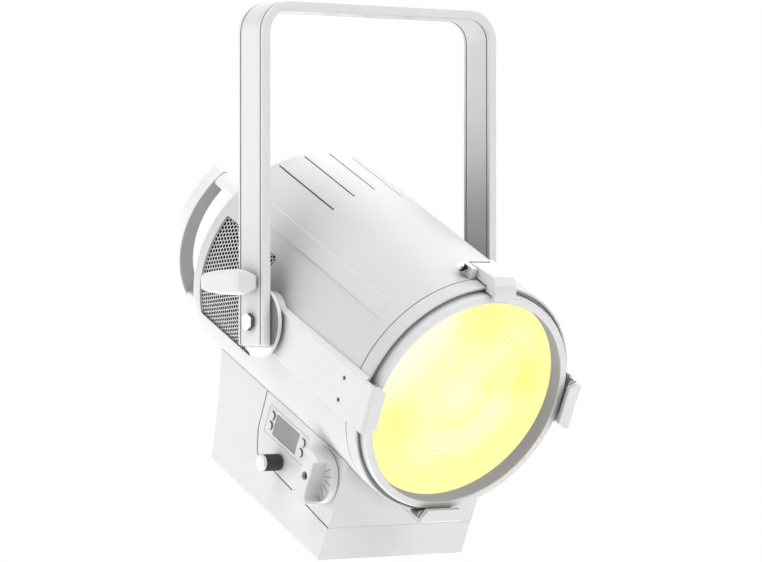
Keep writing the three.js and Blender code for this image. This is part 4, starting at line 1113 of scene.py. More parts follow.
def top_latch():
    """A bar over the bezel that turns down in front of the rim to keep a gel frame in."""
    under = LATCH["floor"] + GAP
    rim = RIM_OUTER + 1
    heel = LATCH["heel"]
    outline = arc(PIN, LATCH["knuckle"], -90, 90, 12)[:-1]
    bend = [
        (PIN[0], PIN[1] + LATCH["knuckle"]),
        (-168.5, 128, 1.5),
        (-176.4, 122.2, 2),
        (-178.9, 115, 2),
        (-179.4, LATCH_REACH, 0.9),
        (LATCH_LIP, LATCH_REACH, 0.9),
        (LATCH_LIP, rim, 1),
        (CLIP["back"], rim, 0.9),
        (CLIP["back"], heel, 0.8),
        (LATCH["front"] - 1, heel, 0.8),
        (LATCH["front"] - 1, under, 0.8),
        outline[0],
    ]
    outline += rounded(bend, 0, 5)[:-1]
    bar = prism("x", outline, across(LATCH["half"]), 0.7)
    hole = drill("x", PIN_RADIUS + GAP, across(LATCH["half"]), PIN, 0.3)
    return cut(bar, hole)


def latch_pin():
    """A pin with a polished ball on a short collar at its left end."""
    left, right = span("latch_pin", "x")
    ball = 4.6
    centre = left + ball
    start = math.degrees(math.asin(PIN_RADIUS / ball))
    profile = [(r, w) for w, r in arc((centre, 0), ball, 180, start, 24)]
    profile[0] = (0, left)
    neck = centre + ball * 0.85
    shoulder = -LATCH["bracket"] - GAP
    collar = PIN_RADIUS + 1
    profile += [(PIN_RADIUS, neck), (collar, neck + 0.2), (collar, shoulder), (PIN_RADIUS, shoulder)]
    profile += [(PIN_RADIUS, right - 0.4), (PIN_RADIUS - 0.4, right), (0, right)]
    return turned("x", profile, PIN, 64)


skin("latch_bracket", latch_bracket(), PAINT)
skin("top_latch", top_latch(), PAINT)
# the pin's ball carries a painted reflection in its colour
skin("latch_pin", latch_pin(), PAINTED_REFLECTION_BALL)

# ---------------------------------------------------------------- front optics

RIM = {"inner": 102, "outer": 110, "pocket": 106, "pocket_from": -155.8}
BEZEL = {
    "lip": 113.2,
    "groove": 3.2,
    "bore": 110.4,
    "spigot": 113.2,
    "wall": 5,
    "step": -147.2,
    "edge": 1.6,
    "seam": 0.8,
}


def front_bezel():
    back = TUBE_FRONT - GAP
    spigot, seam = BEZEL["spigot"], BEZEL["seam"]
    corners = [
        (BEZEL["lip"], BEZEL_FRONT, 0.5),
        (TUBE_RADIUS, BEZEL_FRONT, BEZEL["edge"]),
        (TUBE_RADIUS, back - seam, 0.2),
        (TUBE_RADIUS - seam, back - seam),
        (TUBE_RADIUS - seam, back),
        (spigot, back),
        (spigot, BEZEL_REAR, 0.6),
        (spigot - BEZEL["wall"], BEZEL_REAR, 0.6),
        (spigot - BEZEL["wall"], BEZEL["step"]),
        (BEZEL["bore"], BEZEL["step"]),
        (BEZEL["bore"], BEZEL_FRONT + BEZEL["groove"]),
        (BEZEL["lip"], BEZEL_FRONT + BEZEL["groove"], 1.2),
    ]
    return turned("y", rounded(corners, 0, 6))


def lens_rim():
    corners = [
        (RIM["inner"], RIM_FRONT, 1.2),
        (RIM["outer"], RIM_FRONT, 2.2),
        (RIM["outer"], RIM_REAR, 0.4),
        (RIM["pocket"], RIM_REAR, 0.4),
        (RIM["pocket"], RIM["pocket_from"]),
        (RIM["inner"], RIM["pocket_from"]),
    ]
    return turned("y", rounded(corners, 0, 6))


def fresnel_lens():
    """A flat back, and fine prism rings round a low dome in front, each cut deeper towards the edge."""
    front, rear = span("fresnel_lens", "y")
    dome = 4 * LENS_PITCH
    profile = [(0, front)]
    profile += [(dome * i / 8, front + 0.7 * (i / 8) ** 2) for i in range(1, 9)]
    inner = dome
    while inner + LENS_PITCH < LENS_RADIUS - 1:
        outer = inner + LENS_PITCH
        relief = 0.35 + 0.5 * inner / LENS_RADIUS
        profile.append((inner + 0.15, front + 0.25))
        profile.append(((inner + outer) / 2, front + 0.25 + relief * 0.4))
        profile.append((outer, front + 0.25 + relief))
        inner = outer
    profile += [(LENS_RADIUS, front + 0.9), (LENS_RADIUS, rear), (0, rear)]
    work = turned("y", profile)
    local = work.data.attributes.new("local", "FLOAT_VECTOR", "POINT")
    local.data.foreach_set("vector", [value for vertex in work.data.vertices for value in vertex.co])
    return work


def measured_ring(node, soft):
    """A plain ring where a CAD ring is, with its wall taken from that ring's points."""
    back = HEAD.inverted()
    points = [back @ vertex.co for vertex in frame["nodes"][node].data.vertices]
    inner = min(math.hypot(p.x, p.z) for p in points)
    outer = max(math.hypot(p.x, p.z) for p in points)
    return ring("y", inner, outer, span(node, "y"), soft)


def behind_bezel(p, normal):
    return p.y > TUBE_FRONT - GAP - BEZEL["seam"] - 0.1


# the bezel: the darker white paint as painted shade, and a painted shadow line in its rear seam
skin("front_bezel", front_bezel(), TUBE_SHADE_PAINT, HEAD, (SHADOW_LINE, behind_bezel))
# the rim's inward faces get the grey lining with its painted glow
skin("lens_rim", lens_rim(), PAINT, HEAD, (GLOWING_RIM, lambda p, normal: outwards(p, normal) < -0.5))
skin("fresnel_lens", fresnel_lens(), LENS)
skin("lens_gasket", measured_ring("lens_gasket", 0.3), RUBBER)
skin("lens_retaining_ring", measured_ring("lens_retaining_ring", 0.3), BLACK_ALLOY)

# ---------------------------------------------------------------- rear

CAP = {
    "front": 133.3,
    "radius": 115.3,
    "spigot": 113.2,
    "spigot_end": 126,
    "wall": 5,
    "boss": 9,
    "boss_end": 118,
}
GRILLE = {"radius": 47, "slots": 6, "pitch": 14, "width": 8}
HANDLE = {
    "inner": 87,
    "outer": 103,
    "front": 185,
    "rear": 203,
    "from": 136,
    "to": 225,
    "corner": 4,
    "post": 10,
}
FAN = {"reach": 40, "hub": 17, "blades": 7}
ROD_X = middle("guide_rod_right", "x")
ROD_Z = middle("guide_rod_right", "z")
ROD_REAR = span("guide_rod_right", "y")[1]
ROD_RADIUS = 4
ROD_BORE = ROD_RADIUS + 0.35


def rear_cap():
    c = CAP
    corners = [
        (0, c["front"], 0),
        (c["spigot"] - c["wall"], c["front"]),
        (c["spigot"] - c["wall"], c["spigot_end"], 0.6),
        (c["spigot"], c["spigot_end"], 0.6),
        (c["spigot"], c["front"]),
        (c["radius"], c["front"], 0.3),
        (c["radius"], CAP_REAR, 2.4),
        (GRILLE["radius"] + 12, CAP_REAR, 1),
        (GRILLE["radius"] + 10.6, CAP_REAR - 1, 1),
        (0, CAP_REAR - 1, 0),
    ]
    cap = turned("y", rounded(corners, 0, 5))
    boss = (c["boss_end"], c["front"] + 1)
    cap = join(cap, *[cylinder("y", c["boss"], boss, (side * ROD_X, ROD_Z), 0.5) for side in (-1, 1)])
    tools = []
    for i in range(GRILLE["slots"]):
        z = (i - (GRILLE["slots"] - 1) / 2) * GRILLE["pitch"]
        half = math.sqrt(GRILLE["radius"] ** 2 - z ** 2)
        low, high = z - GRILLE["width"] / 2, z + GRILLE["width"] / 2
        slot = rectangle(across(half), (low, high), GRILLE["width"] / 2 - 0.05)
        tools.append(prism("y", slot, (c["front"] - 1, CAP_REAR + 1)))
    rod = (110, ROD_REAR + GAP)
    tools += [cylinder("y", ROD_BORE, rod, (side * ROD_X, ROD_Z)) for side in (-1, 1)]
    return cut(cap, *tools)


def rear_handle():
    """A curved grip with rounded edges, on two posts that run forward to the rear cap."""
    h = HANDLE
    outline = rounded_sector(h["inner"], h["outer"], h["from"], h["to"], h["corner"])
    grip = prism("y", outline, (h["front"], h["rear"]), h["corner"] - 1, 5)
    posts = []
    for start in (h["from"], h["to"] - h["post"]):
        outline = rounded_sector(h["inner"] + 1.2, h["outer"] - 1.2, start + 0.8, start + h["post"] - 0.8, 3)
        posts.append(prism("y", outline, (CAP_REAR + GAP, h["rear"] - 4), (0.5, 0)))
    return join(grip, *posts)


def rounded_sector(inner, outer, start, end, radius):
    """A sector of a flat ring with its four corners rounded."""
    trim_outer = math.degrees(radius / outer)
    trim_inner = math.degrees(radius / inner)
    corner = {}
    for name, r, angle, side in (
        ("outer_end", outer - radius, end - trim_outer, 0),
        ("inner_end", inner + radius, end - trim_inner, 90),
        ("inner_start", inner + radius, start + trim_inner, 180),
        ("outer_start", outer - radius, start + trim_outer, 270),
    ):
        centre = (r * math.cos(math.radians(angle)), r * math.sin(math.radians(angle)))
        corner[name] = arc(centre, radius, angle + side, angle + side + 90, 5)
    outline = arc((0, 0), outer, start + trim_outer, end - trim_outer, 36)[1:-1] + corner["outer_end"]
    outline += corner["inner_end"] + arc((0, 0), inner, end - trim_inner, start + trim_inner, 36)[1:-1]
    return outline + corner["inner_start"] + corner["outer_start"]


def safety_eye():
    """The loop for a safety cable, on a foot above the fan grille."""
    low, rear = span("safety_eye", "y")
    z = middle("safety_eye", "z")
    foot = box(across(17), (low, low + 3), (z - 8, z + 8), 0.8)
    bow = prism("x", arc((low + 2.7, z), rear - low - 2.7, -90, 90, 24), across(2.5), 1.6)
    eye = join(foot, bow)
    way = cylinder("x", 7.5, across(4), (low + 3.5, z))
    hole = cut(way, box(across(5), (low - 9, low + 3), (z - 9, z + 9)))
    screws = [cylinder("y", 2.6, (low + 2, low + 4.4), (x, z), 0.6, 24) for x in across(12)]
    return join(cut(eye, hole), *screws)


def fan_frame():
    """A square fan housing with rounded corners, mounting holes and four arms to the hub seat."""
    front, rear = span("fan_frame", "y")
    half = span("fan_frame", "x")[1]
    bore = half - 3
    outline = rectangle(across(half), across(half), 5)
    shell = prism("y", outline, (front, rear), 0.8)
    shell = cut(shell, cylinder("y", bore, (front - 1, rear + 1), sides=96))
    arms = [box(across(bore + 2), (rear - 3, rear - 0.4), across(2), 0.5) for _ in range(2)]
    arms = [turned_by(arm, "Y", angle) for arm, angle in zip(arms, (45, 135))]
    seat = cylinder("y", FAN["hub"], (rear - 3, rear - 0.2), soft=0.6)
    corners = [(x, z) for x in across(half - 5) for z in across(half - 5)]
    holes = [cylinder("y", 2.2, (front - 1, rear + 1), corner) for corner in corners]
    return cut(join(shell, *arms, seat), cylinder("y", 2.3, (rear - 4, rear + 1)), *holes)


def fan_blade(centre):
    """A twisted, cambered blade from inside the hub to the rotor's edge."""
    root = FAN["hub"] - 2
    rings = []
    for k in range(7):
        radius = root + (FAN["reach"] - root) * k / 6
        pitch = math.radians(52 - 22 * k / 6)
        chord = 10 - 0.4 * k
        section = []
        for side, lift in ((1, 0.5), (-1, -0.5)):
            for s in (-1, -0.5, 0, 0.5, 1)[::side]:
                along = s * chord
                camber = 1.6 * (1 - s * s) + lift
                turn = (along * math.sin(pitch) + camber * math.cos(pitch)) / radius
                rise = along * math.cos(pitch) * 0.85 - camber * math.sin(pitch)
                section.append((radius * math.cos(turn), centre + rise, radius * math.sin(turn)))
        rings.append(section)
    return loft(rings)


def fan_rotor():
    """A hub with its blades and a spindle."""
    front, rear = span("fan_rotor", "y")
    hub, hub_rear = FAN["hub"], rear - 4.5
    profile = rounded([(0, front, 0), (hub, front, 2.5), (hub, hub_rear, 0.6), (0, hub_rear, 0)], 0)
    rotor = join(turned("y", profile, sides=96), cylinder("y", 2, (front + 1, rear), soft=0.3))
    for i in range(FAN["blades"]):
        blade = fan_blade((front + hub_rear) / 2)
        rotor = join(rotor, turned_by(blade, "Y", 360 / FAN["blades"] * i))
    return rotor


skin("rear_cap", rear_cap(), PAINT)
# The handles' outer faces get the brighter paint as painted light, their front faces the shaded paint as painted
# shade.
both_sides(
    "rear_handle",
    rear_handle,
    PAINT,
    HEAD,
    (LIT_PAINT, lambda p, normal: outwards(p, normal) > 0.2),
    (SHADED_PAINT, lambda p, normal: normal.y < -0.6 and p.y > HANDLE["front"] - 1),
)
skin("safety_eye", safety_eye(), STEEL)
skin("fan_frame", fan_frame(), DARK_PLASTIC)
skin("fan_rotor", fan_rotor(), DARK_PLASTIC)

# ---------------------------------------------------------------- base

FOOT, KNEE, SHOULDER = (75, -185), (89.2, -126), (109.2, -70)
SEAM = [(-127, -150.5), (-75.5, -147.5), (7, -143), (15.5, -121), (17, -84), (17.4, -70)]
BASE_TOP = -70
SEAM_GAP = 0.4


def panel_extent(node):
    return span(node, "y") + span(node, "z")


PLATE = panel_extent("control_plate")
DIAL_Y, DIAL_Z = middle("focus_knob", "y"), middle("focus_knob", "z")
ENCODER_Y, ENCODER_Z = middle("encoder_cap", "y"), middle("encoder_cap", "z")


def bent(seam):
    """The seam with its two bends rounded."""
    return [(*point, 3 if i in (2, 3) else 0) for i, point in enumerate(seam)]


def control_housing():
    """A front wall and two side walls over the chassis, open above, below and behind."""
    seam = [(y if y == BASE_FRONT else y - SEAM_GAP, z + SEAM_GAP) for y, z in SEAM]
    outline = rounded(bent(seam) + [(BASE_FRONT, BASE_TOP)])
    body = prism("x", outline, across(BASE_HALF), 0.9)
    hollow = box(across(BASE_HALF - BASE_WALL), (BASE_FRONT + BASE_WALL, 109), (BASE_BOTTOM, BASE_TOP + 3))
    side = (-BASE_HALF - 1, -BASE_HALF + BASE_WALL + 1)
    front, rear, low, high = PLATE
    opening = prism("x", rectangle((front - GAP, rear + GAP), (low - GAP, high + GAP), 1.5), side)
    encoder_hole = cylinder("x", 3.4, side, (ENCODER_Y, ENCODER_Z))
    shaft_hole = cylinder("x", 4.4, side, (DIAL_Y, DIAL_Z))
    return cut(body, hollow, tube_cutter(), opening, encoder_hole, shaft_hole)


REAR_LEAN = math.degrees(math.atan2(KNEE[0] - FOOT[0], KNEE[1] - FOOT[1]))


def on_rear_face(work):
    """Puts a shape on the chassis's rear face: its +Y points out of that face, from the face's middle."""
    turned_by(work, "X", -REAR_LEAN)
    return moved(work, Matrix.Translation((0, (FOOT[0] + KNEE[0]) / 2, (FOOT[1] + KNEE[1]) / 2)))


def base_chassis():
    """A tray whose sides rise to the tube behind the housing, with a leaning rear wall."""
    wall = BASE_WALL
    outline = rounded([*bent(SEAM), SHOULDER, (*KNEE, 1.5), (*FOOT, 2), (BASE_FRONT, BASE_BOTTOM, 1.2)])
    body = prism("x", outline, across(BASE_HALF), 0.9)
    hollow = [
        (BASE_FRONT + wall, BASE_BOTTOM + wall),
        (FOOT[0] - wall + 0.5, BASE_BOTTOM + wall),
        (KNEE[0] - wall, KNEE[1]),
        (SHOULDER[0] - wall, BASE_TOP + 3),
        (BASE_FRONT + wall, BASE_TOP + 3),
    ]
    opening = prism("y", rectangle(across(56), across(15), 2), (-12, 6))
    return cut(body, prism("x", hollow, across(BASE_HALF - wall)), tube_cutter(), on_rear_face(opening))


def connector_plate():
    plate = prism("y", rectangle(across(60), across(20), 2.5), (GAP, 2.3), (0, 0.5))
    screws = [cylinder("y", 2.4, (1.5, 3.1), (x, z), 0.6, 24) for x in across(55) for z in across(15.5)]
    plate = join(plate, *screws)
    holes = [cylinder("y", radius + GAP, (-1, 4), (x, 0), sides=64) for x, radius, _, _ in PORTS.values()]
    return on_rear_face(cut(plate, *holes))


# Each connector: its place across the plate, its radius, its contacts and its finish.
PORTS = {
    "power_inlet": (-40, 12, 3, BLUE_PLASTIC),
    "power_outlet": (-12, 12, 3, GREY_PLASTIC),
    "data_in": (15, 10, 5, DARK_PLASTIC),
    "data_out": (40, 10, 5, DARK_PLASTIC),
}


def port(x, radius, contacts):
    """A chassis connector: a flanged barrel with a recess round a keyed core."""
    rear, face, floor = -14, 6, -4
    outer = [(0, rear, 0), (radius, rear, 0.6), (radius, face, 1.0)]
    outer += [(radius - 1.6, face, 0.4), (radius - 2.2, floor), (0, floor, 0)]
    barrel = turned("y", rounded(outer), sides=96)
    core_radius = radius * 0.52
    core = cylinder("y", core_radius, (-5, 3.5), soft=0.6, sides=64)
    tools = [box(across(0.9), (-2, 5), (core_radius - 1.4, core_radius + 1))]
    for i in range(contacts):
        turn = 2 * math.pi * (i + 0.5) / contacts
        centre = (core_radius * 0.55 * math.cos(turn), core_radius * 0.55 * math.sin(turn))
        tools.append(cylinder("y", 0.8, (0, 5), centre, sides=20))
    work = join(barrel, cut(core, *tools))
    return on_rear_face(moved(work, Matrix.Translation((x, 0, 0))))


def seam_height(y):
    """The height of the lowest run of the seam above a place along the base."""
    (y0, z0), (y1, z1) = SEAM[0], SEAM[2]
    return z0 + (z1 - z0) * (y - y0) / (y1 - y0)


def on_seam(p, normal):
    along_bottom = abs(normal.z) > 0.6 and abs(p.z - seam_height(p.y)) < 2.5 and p.y < SEAM[2][0] + 1
    up_rear = abs(normal.y) > 0.6 and SEAM[2][0] - 2 < p.y < SEAM[5][0] + 1 and p.z > SEAM[2][1] - 1
    return along_bottom or up_rear


for node, shape in (("control_housing", control_housing), ("base_chassis", base_chassis)):
    skin(node, shape(), PAINT, HEAD, (SHADOW_LINE, on_seam))
skin("connector_plate", connector_plate(), ALLOY)
for name, (x, radius, contacts, material) in PORTS.items():
    skin(name, port(x, radius, contacts), material)

# ---------------------------------------------------------------- control side

PANEL_FACE = -BASE_HALF


def control_plate():
    """The plate round the display and the buttons, with a fine bevel at every opening."""
    front, rear, low, high = PLATE
    back = span("control_plate", "x")[1]
    plate = prism("x", rectangle((front, rear), (low, high), 1.3), (PANEL_FACE, back), (0.3, 0))
    y0, y1, z0, z1 = panel_extent("display_window")
    opening = rectangle((y0 - GAP, y1 + GAP), (z0 - GAP, z1 + GAP), 0.6)
    tools = [prism("x", opening, (PANEL_FACE - 1, back + 1))]
    for i in range(1, 5):
        node = f"menu_button_{i}"
        tools.append(drill("x", 4.1, (PANEL_FACE, back), (middle(node, "y"), middle(node, "z")), 0.25))
    return cut(plate, *tools)


def display_window():
    y0, y1, z0, z1 = panel_extent("display_window")
    return prism("x", rectangle((y0, y1), (z0, z1), 0.5), span("display_window", "x"), (0.15, 0))


def menu_button(node):
    """A round button with a soft edge and a shallow dish."""
    face, back = span(node, "x")
    radius = (span(node, "z")[1] - span(node, "z")[0]) / 2
    profile = [(0, face + 0.25, 0), (radius * 0.55, face + 0.12, 3), (radius * 0.8, face, 1)]
    profile += [(radius, face, 0.9), (radius, back, 0.3), (0, back, 0)]
    return turned("x", rounded(profile), (middle(node, "y"), middle(node, "z")), 48)


def encoder_knob():
    """A knurled grip with a groove behind its cap, on a wider skirt and a shaft."""
    cap_inner = span("encoder_cap", "x")[1] + GAP
    radius = 8
    teeth = 30
    grooved = []
    for i in range(teeth * 4):
        turn = math.pi * i / teeth / 2
        reach = radius - 0.45 if i % 4 in (0, 1) else radius
        grooved.append((ENCODER_Y + reach * math.cos(turn), ENCODER_Z + reach * math.sin(turn)))
    foot = PANEL_FACE - 0.8
    grip = prism("x", grooved, (cap_inner, foot - 2.6), 0.35)
    core = cylinder("x", radius - 0.6, (cap_inner, foot), (ENCODER_Y, ENCODER_Z), 0.3, 64)
    skirt = cylinder("x", radius, (foot - 2.1, foot), (ENCODER_Y, ENCODER_Z), 0.6, 64)
    shaft = cylinder("x", 3, (foot - 1, span("encoder_knob", "x")[1]), (ENCODER_Y, ENCODER_Z), 0.3)
    return join(grip, core, skirt, shaft)


def encoder_cap():
    """The knob's pale end, with a fine groove round its edge."""
    tip, end = span("encoder_cap", "x")
    radius = 7.6
    profile = [(0, tip + 0.1, 0), (radius - 1.2, tip, 1), (radius, tip, 0.7), (radius, end - 1, 0.2)]
    profile += [(radius - 0.5, end - 0.85), (radius - 0.5, end - 0.65), (radius, end - 0.5, 0.2)]
    profile += [(radius, end, 0.2), (0, end, 0)]
    return turned("x", rounded(profile), (ENCODER_Y, ENCODER_Z), 64)


DIAL = {"radius": 26.6, "grip_half": 7.5, "flare": 5, "lip": 2.1, "proud": 6.7, "floor": 5.4, "recess": 4.25}


DIAL_FLOOR = PANEL_FACE - DIAL["floor"] + 0.9


def dial_grip_outline():
    """The grip seen from the side: a bar whose ends flare, by fillets, into the dial's round edge."""
    radius, half, flare = DIAL["radius"] - 0.4, DIAL["grip_half"], DIAL["flare"]
    out = half + flare
    top = math.sqrt(radius ** 2 - out ** 2)
    centre_z = top - flare - 2.4
    edge = math.degrees(math.atan2(top, out))
    upper = arc((0, 0), radius, edge, 180 - edge, 20)
    left = arc((-out, centre_z), flare, 90, 0, 8)
    right = arc((out, -centre_z), flare, 270, 180, 8)
    outline = upper + left + [(y, -z) for y, z in left[::-1]] + [(-y, -z) for y, z in upper]
    return outline + right + [(y, -z) for y, z in right[::-1]]


def focus_knob():
    """The focus dial: a lipped disc with engraved rays, and a tall grip bar across it."""
    d = DIAL
    centre = Matrix.Translation((0, DIAL_Y, DIAL_Z))
    base = PANEL_FACE - 0.5
    top = span("focus_knob", "x")[0]
    rim_face = PANEL_FACE - d["proud"]
    floor = DIAL_FLOOR
    profile = [
        (0, base, 0),
        (d["radius"], base, 0.5),
        (d["radius"], base - 1.8, 0.4),
        (d["radius"] - 0.9, base - 2.2, 0.3),
        (d["radius"] - 0.9, rim_face, 0.7),
        (d["radius"] - d["lip"] - 0.6, rim_face, 0.5),
        (d["radius"] - d["lip"] - 0.9, floor, 0.3),
        (0, floor, 0),
    ]
    disc = turned("x", rounded(profile))
    rays = []
    for turn in range(-66, 67, 22):
        for side in (0, 180):
            ray = box((floor - 3, floor + 0.55), (10.5, 21.5), across(0.3))
            rays.append(turned_by(ray, "X", turn + side))
    disc = cut(disc, *rays)
    grip = prism("x", dial_grip_outline(), (top, base - 1), (0.8, 0), 4)
    knob = join(disc, grip)
    well = cylinder("x", d["recess"], (top - 1, top + 6), soft=0.4, sides=48)
    knob = cut(knob, well, cylinder("x", 2.3, (top, base)), cylinder("x", 4.3, (base + 1, base - 6)))
    return moved(knob, centre)


def from_dial_centre(p):
    return math.hypot(p.y - DIAL_Y, p.z - DIAL_Z)


def on_grip_flank(p, normal):
    return p.x < DIAL_FLOOR and from_dial_centre(p) < DIAL["radius"] - DIAL["lip"] and normal.x > -0.5


def in_ray(p, normal):
    return p.x > DIAL_FLOOR + 0.1 and 10 < from_dial_centre(p) < 22


def focus_knob_screw():
    """A cap screw with a hexagon socket, down in the grip's recess."""
    head, end = span("focus_knob_screw", "x")
    centre = (DIAL_Y, DIAL_Z)
    cap = cylinder("x", DIAL["recess"] - 0.5, (head, head + 2.7), centre, 0.5)
    screw = join(cap, cylinder("x", 2, (head + 1, end), centre, 0.3))
    return cut(screw, prism("x", arc(centre, 1.9, 0, 300, 5), (head - 1, head + 1.6)))


GEAR = {"teeth": 12, "pitch_radius": 9, "dedendum": 1.3, "half": 5}
TOOTH_FLANK = [(1.45, -1.9), (1.35, -1.3), (0.95, 0.1), (0.5, 0.95)]  # from root to crest, the tooth upright


def focus_shaft():
    """The focus shaft with its pinion under the middle of the tube."""
    left, right = span("focus_shaft", "x")
    radius = GEAR["pitch_radius"]
    parts = [cylinder("x", 4, (left, right), soft=0.5)]
    outline = [(-y, z + radius) for y, z in TOOTH_FLANK] + [(y, z + radius) for y, z in TOOTH_FLANK[::-1]]
    for i in range(GEAR["teeth"]):
        tooth = prism("x", outline, across(GEAR["half"]), 0.2)
        parts.append(turned_by(tooth, "X", 360 * (i + 0.5) / GEAR["teeth"]))
    shaft = join(cylinder("x", radius - GEAR["dedendum"], across(GEAR["half"]), soft=0.3), *parts)
    return moved(shaft, Matrix.Translation((0, DIAL_Y, DIAL_Z)))


skin("control_plate", control_plate(), PAINT, HEAD, (SHADOW_LINE, lambda p, normal: abs(normal.x) < 0.3))
skin("display_window", display_window(), DISPLAY)
for i in range(1, 5):
    node = f"menu_button_{i}"
    skin(node, menu_button(node), WHITE_PLASTIC, HEAD, (SHADOW_LINE, lambda p, normal: normal.x > -0.5))
skin("encoder_knob", encoder_knob(), KNOB_RUBBER)
# the encoder's cap gets the brighter paint as painted light
skin("encoder_cap", encoder_cap(), LIT_PAINT)
skin("focus_knob", focus_knob(), WHITE_PLASTIC, HEAD, (SHADED_PLASTIC, on_grip_flank), (SHADOW_LINE, in_ray))
skin("focus_knob_screw", focus_knob_screw(), DARK_STEEL)
skin("focus_shaft", focus_shaft(), STEEL)

# ---------------------------------------------------------------- light engine and other inner pieces


def guide_rod(node):
    return cylinder("y", ROD_RADIUS, span(node, "y"), (middle(node, "x"), ROD_Z), 0.6, 64)


def mixing_cup():
    """A flared, faceted reflector in front of the emitter, with a rolled front edge."""
    front, rear = span("mixing_cup", "y")
    corners = [(21, rear, 0.3), (22.5, rear, 0.3), (40, front + 1), (40, front, 0.4)]
    corners += [(38.5, front, 0.4), (38, front + 1)]
    return turned("y", rounded(corners), sides=72)


def led_board():
    """The round emitter board: a plate, a square light source under a low dome and two terminals."""
    front, rear = span("led_board", "y")
    face = -2
    plate = cylinder("y", 27, (face - 0.3, rear), soft=0.3, sides=96)
    source = box(across(12), (front + 0.4, face), across(12), 0.4)
    curve = [(10 * math.sin(t / 10), front + 1.1 * (1 - math.cos(t / 10))) for t in range(1, 16)]
    dome = turned("y", [(0, front)] + curve + [(10, face), (0, face)])
    terminals = [box((x - 2.5, x + 2.5), (front + 0.3, face), (16, 21), 0.3) for x in across(6)]
    return join(plate, source, dome, *terminals)


INNER = {
    "control_board": BOARD,
    "power_supply": ALLOY,
    "shaft_bracket": ALLOY,
    "guide_frame": BLACK_ALLOY,
    "led_carriage": BLACK_ALLOY,
    "heat_sink": BLACK_ALLOY,
    "focus_rack": STEEL,
}


def keep(node, material, width=0.35):
    """Shows a CAD node as it is, with its edges broken and a finish of its own."""
    piece = frame["nodes"][node]
    piece.data.materials.clear()
    piece.data.materials.append(material)
    weld = piece.modifiers.new("weld", "WELD")
    weld.merge_threshold = 0.01 * MM
    bevel = piece.modifiers.new("edges", "BEVEL")
    bevel.width = width * MM
    bevel.segments = 2
    bevel.limit_method = "ANGLE"
    bevel.angle_limit = math.radians(40)


skin("guide_rod_left", guide_rod("guide_rod_left"), STEEL)
skin("guide_rod_right", guide_rod("guide_rod_right"), STEEL)
skin("mixing_cup", mixing_cup(), REFLECTOR)
skin("led_board", led_board(), EMITTER)
for node, material in INNER.items():
    keep(node, material)

# ---------------------------------------------------------------- studio

TILT_AXIS = Vector(joints["tilt"]["pos_m"])
VIEW_TURN = math.radians(35.8)  # the camera stands this far round from the nose, on the lock lever's side
VIEW_DISTANCE = 3.478
VIEW_SIDESTEP = 0.0107
VIEW_RISE = 0.0464
LENS_LENGTH = 173.2
LENS_SHIFT = -0.0119
FLOOR_DROP = 0.16  # clear air under the base
FLOOR_RADIUS = 40.0
FLOOR_FADE = (350, 1100)  # distances in millimetres between which the floor fades


def stage_floor():
    """A pale floor that fades into the white surround, so that no horizon shows."""
    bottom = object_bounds()[0].z - FLOOR_DROP
    form = bmesh.new()
    bmesh.ops.create_circle(form, cap_ends=True, segments=96, radius=FLOOR_RADIUS)
    mesh = bpy.data.meshes.new("floor")
    form.to_mesh(mesh)
    form.free()
    floor = bpy.data.objects.new("floor", mesh)
    floor.location = (0, 0, bottom)
    bpy.context.scene.collection.objects.link(floor)
    shader = Shader("floor")
    shader.set(Base_Color=(0.86, 0.86, 0.86, 1), Roughness=0.9, Specular_IOR_Level=0.1)
    glow = shader.node("ShaderNodeEmission", {"Color": (1, 1, 1, 1), "Strength": 1.0})
    fade = shader.remap(shader.length(shader.place.outputs[0]), *FLOOR_FADE, 0.0, 1.0)
    share = shader.math("MULTIPLY", fade, shader.camera_ray())
    blend = shader.node("ShaderNodeMixShader", {0: share, 1: shader.surface.outputs[0], 2: glow.outputs[0]})
    shader.tree.links.new(blend.outputs[0], shader.tree.nodes["Material Output"].inputs["Surface"])
    mesh.materials.append(shader.material)
    floor.visible_shadow = False


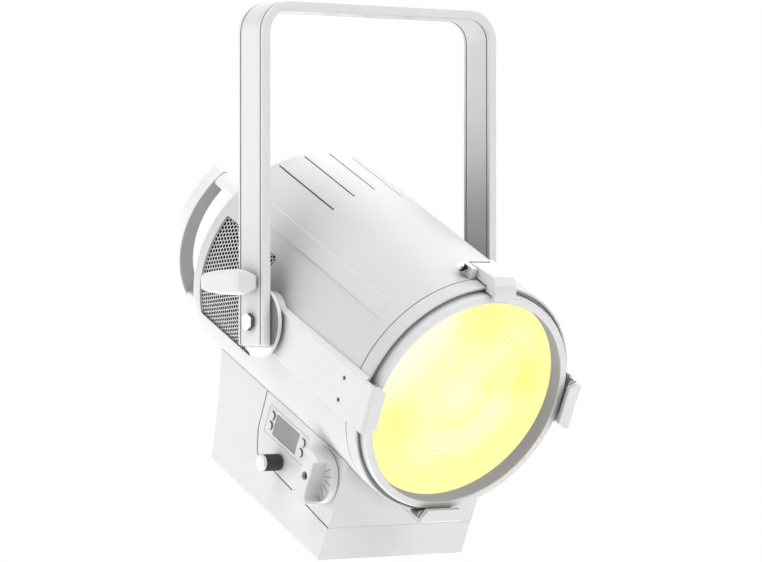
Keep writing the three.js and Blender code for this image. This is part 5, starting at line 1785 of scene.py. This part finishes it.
def surround():
    """A white surround: plain for the camera, dim as a light, and with dark flags in it for shiny things."""
    world = bpy.data.worlds.new("studio")
    bpy.context.scene.world = world
    world.use_nodes = True
    tree = world.node_tree
    tree.nodes.clear()

    def node(kind, inputs=(), **settings):
        return add_node(tree, kind, inputs, **settings)

    way = node("ShaderNodeTexCoord").outputs["Generated"]

    def facing(direction, start, end, low, high):
        """A value that goes from low to high as the ray turns towards a direction."""
        unit = Vector(direction).normalized()
        dot = node("ShaderNodeVectorMath", {0: way, 1: unit}, operation="DOT_PRODUCT").outputs["Value"]
        inputs = {"Value": dot, "From Min": start, "From Max": end, "To Min": low, "To Max": high}
        return node("ShaderNodeMapRange", inputs, interpolation_type="SMOOTHSTEP").outputs["Result"]

    flags = facing((0.75, -0.45, -0.15), 0.55, 0.75, 1.0, 0.06)
    low_flag = facing((0.1, -0.3, -1), 0.7, 0.85, 1.0, 0.25)
    metal = node("ShaderNodeMath", {0: flags, 1: low_flag}, operation="MULTIPLY").outputs[0]
    rays = node("ShaderNodeLightPath")
    mixed = node("ShaderNodeMix", {0: rays.outputs["Is Glossy Ray"], 2: AMBIENT, 3: metal}).outputs[0]
    seen = node("ShaderNodeMix", {0: rays.outputs["Is Camera Ray"], 2: mixed, 3: 1.0}).outputs[0]
    background = node("ShaderNodeBackground", {"Color": (1, 1, 1, 1), "Strength": seen})
    output = node("ShaderNodeOutputWorld")
    tree.links.new(background.outputs[0], output.inputs["Surface"])


def soft_light(name, turn, height, strength):
    """A wide, distant light. It stands a turn to the right of straight ahead, and a height above level."""
    turn, height = math.radians(turn), math.radians(height)
    way = (math.sin(turn) * math.cos(height), -math.cos(turn) * math.cos(height), math.sin(height))
    data = bpy.data.lights.new(name, "SUN")
    data.angle = math.radians(LIGHT_SPREAD)
    data.energy = strength
    lamp = bpy.data.objects.new(name, data)
    lamp.rotation_mode = "QUATERNION"
    lamp.rotation_quaternion = Vector(way).to_track_quat("Z", "Y")
    bpy.context.scene.collection.objects.link(lamp)


def camera():
    ahead = Vector((math.sin(VIEW_TURN), math.cos(VIEW_TURN), 0))
    right = Vector((ahead.y, -ahead.x, 0))
    data = bpy.data.cameras.new("camera")
    data.lens = LENS_LENGTH
    data.shift_y = LENS_SHIFT
    view = bpy.data.objects.new("camera", data)
    view.location = TILT_AXIS - ahead * VIEW_DISTANCE + right * VIEW_SIDESTEP + Vector((0, 0, VIEW_RISE))
    view.rotation_mode = "QUATERNION"
    view.rotation_quaternion = ahead.to_track_quat("-Z", "Y")
    bpy.context.scene.collection.objects.link(view)
    bpy.context.scene.camera = view


AMBIENT = 0.03  # how much of the surround's white lights the object
LIGHT_SPREAD = 40  # how wide each light looks from the object, in degrees
# The studio's lights: how far each stands to the right of the nose's side and above level, in degrees, and
# its strength.
RIG = {
    "front": (15, 30, 1.3),
    "top front": (-45, 70, 0.75),
    "top left": (-100, 55, 0.9),
    "top right": (125, 50, 1.25),
    "left rear": (-140, 5, 0.85),
    "below rear": (-145, -65, 1.75),
}

bpy.context.scene.view_settings.view_transform = "Standard"
stage_floor()
surround()
for name, (turn, height, strength) in RIG.items():
    soft_light(name, turn, height, strength)
camera()
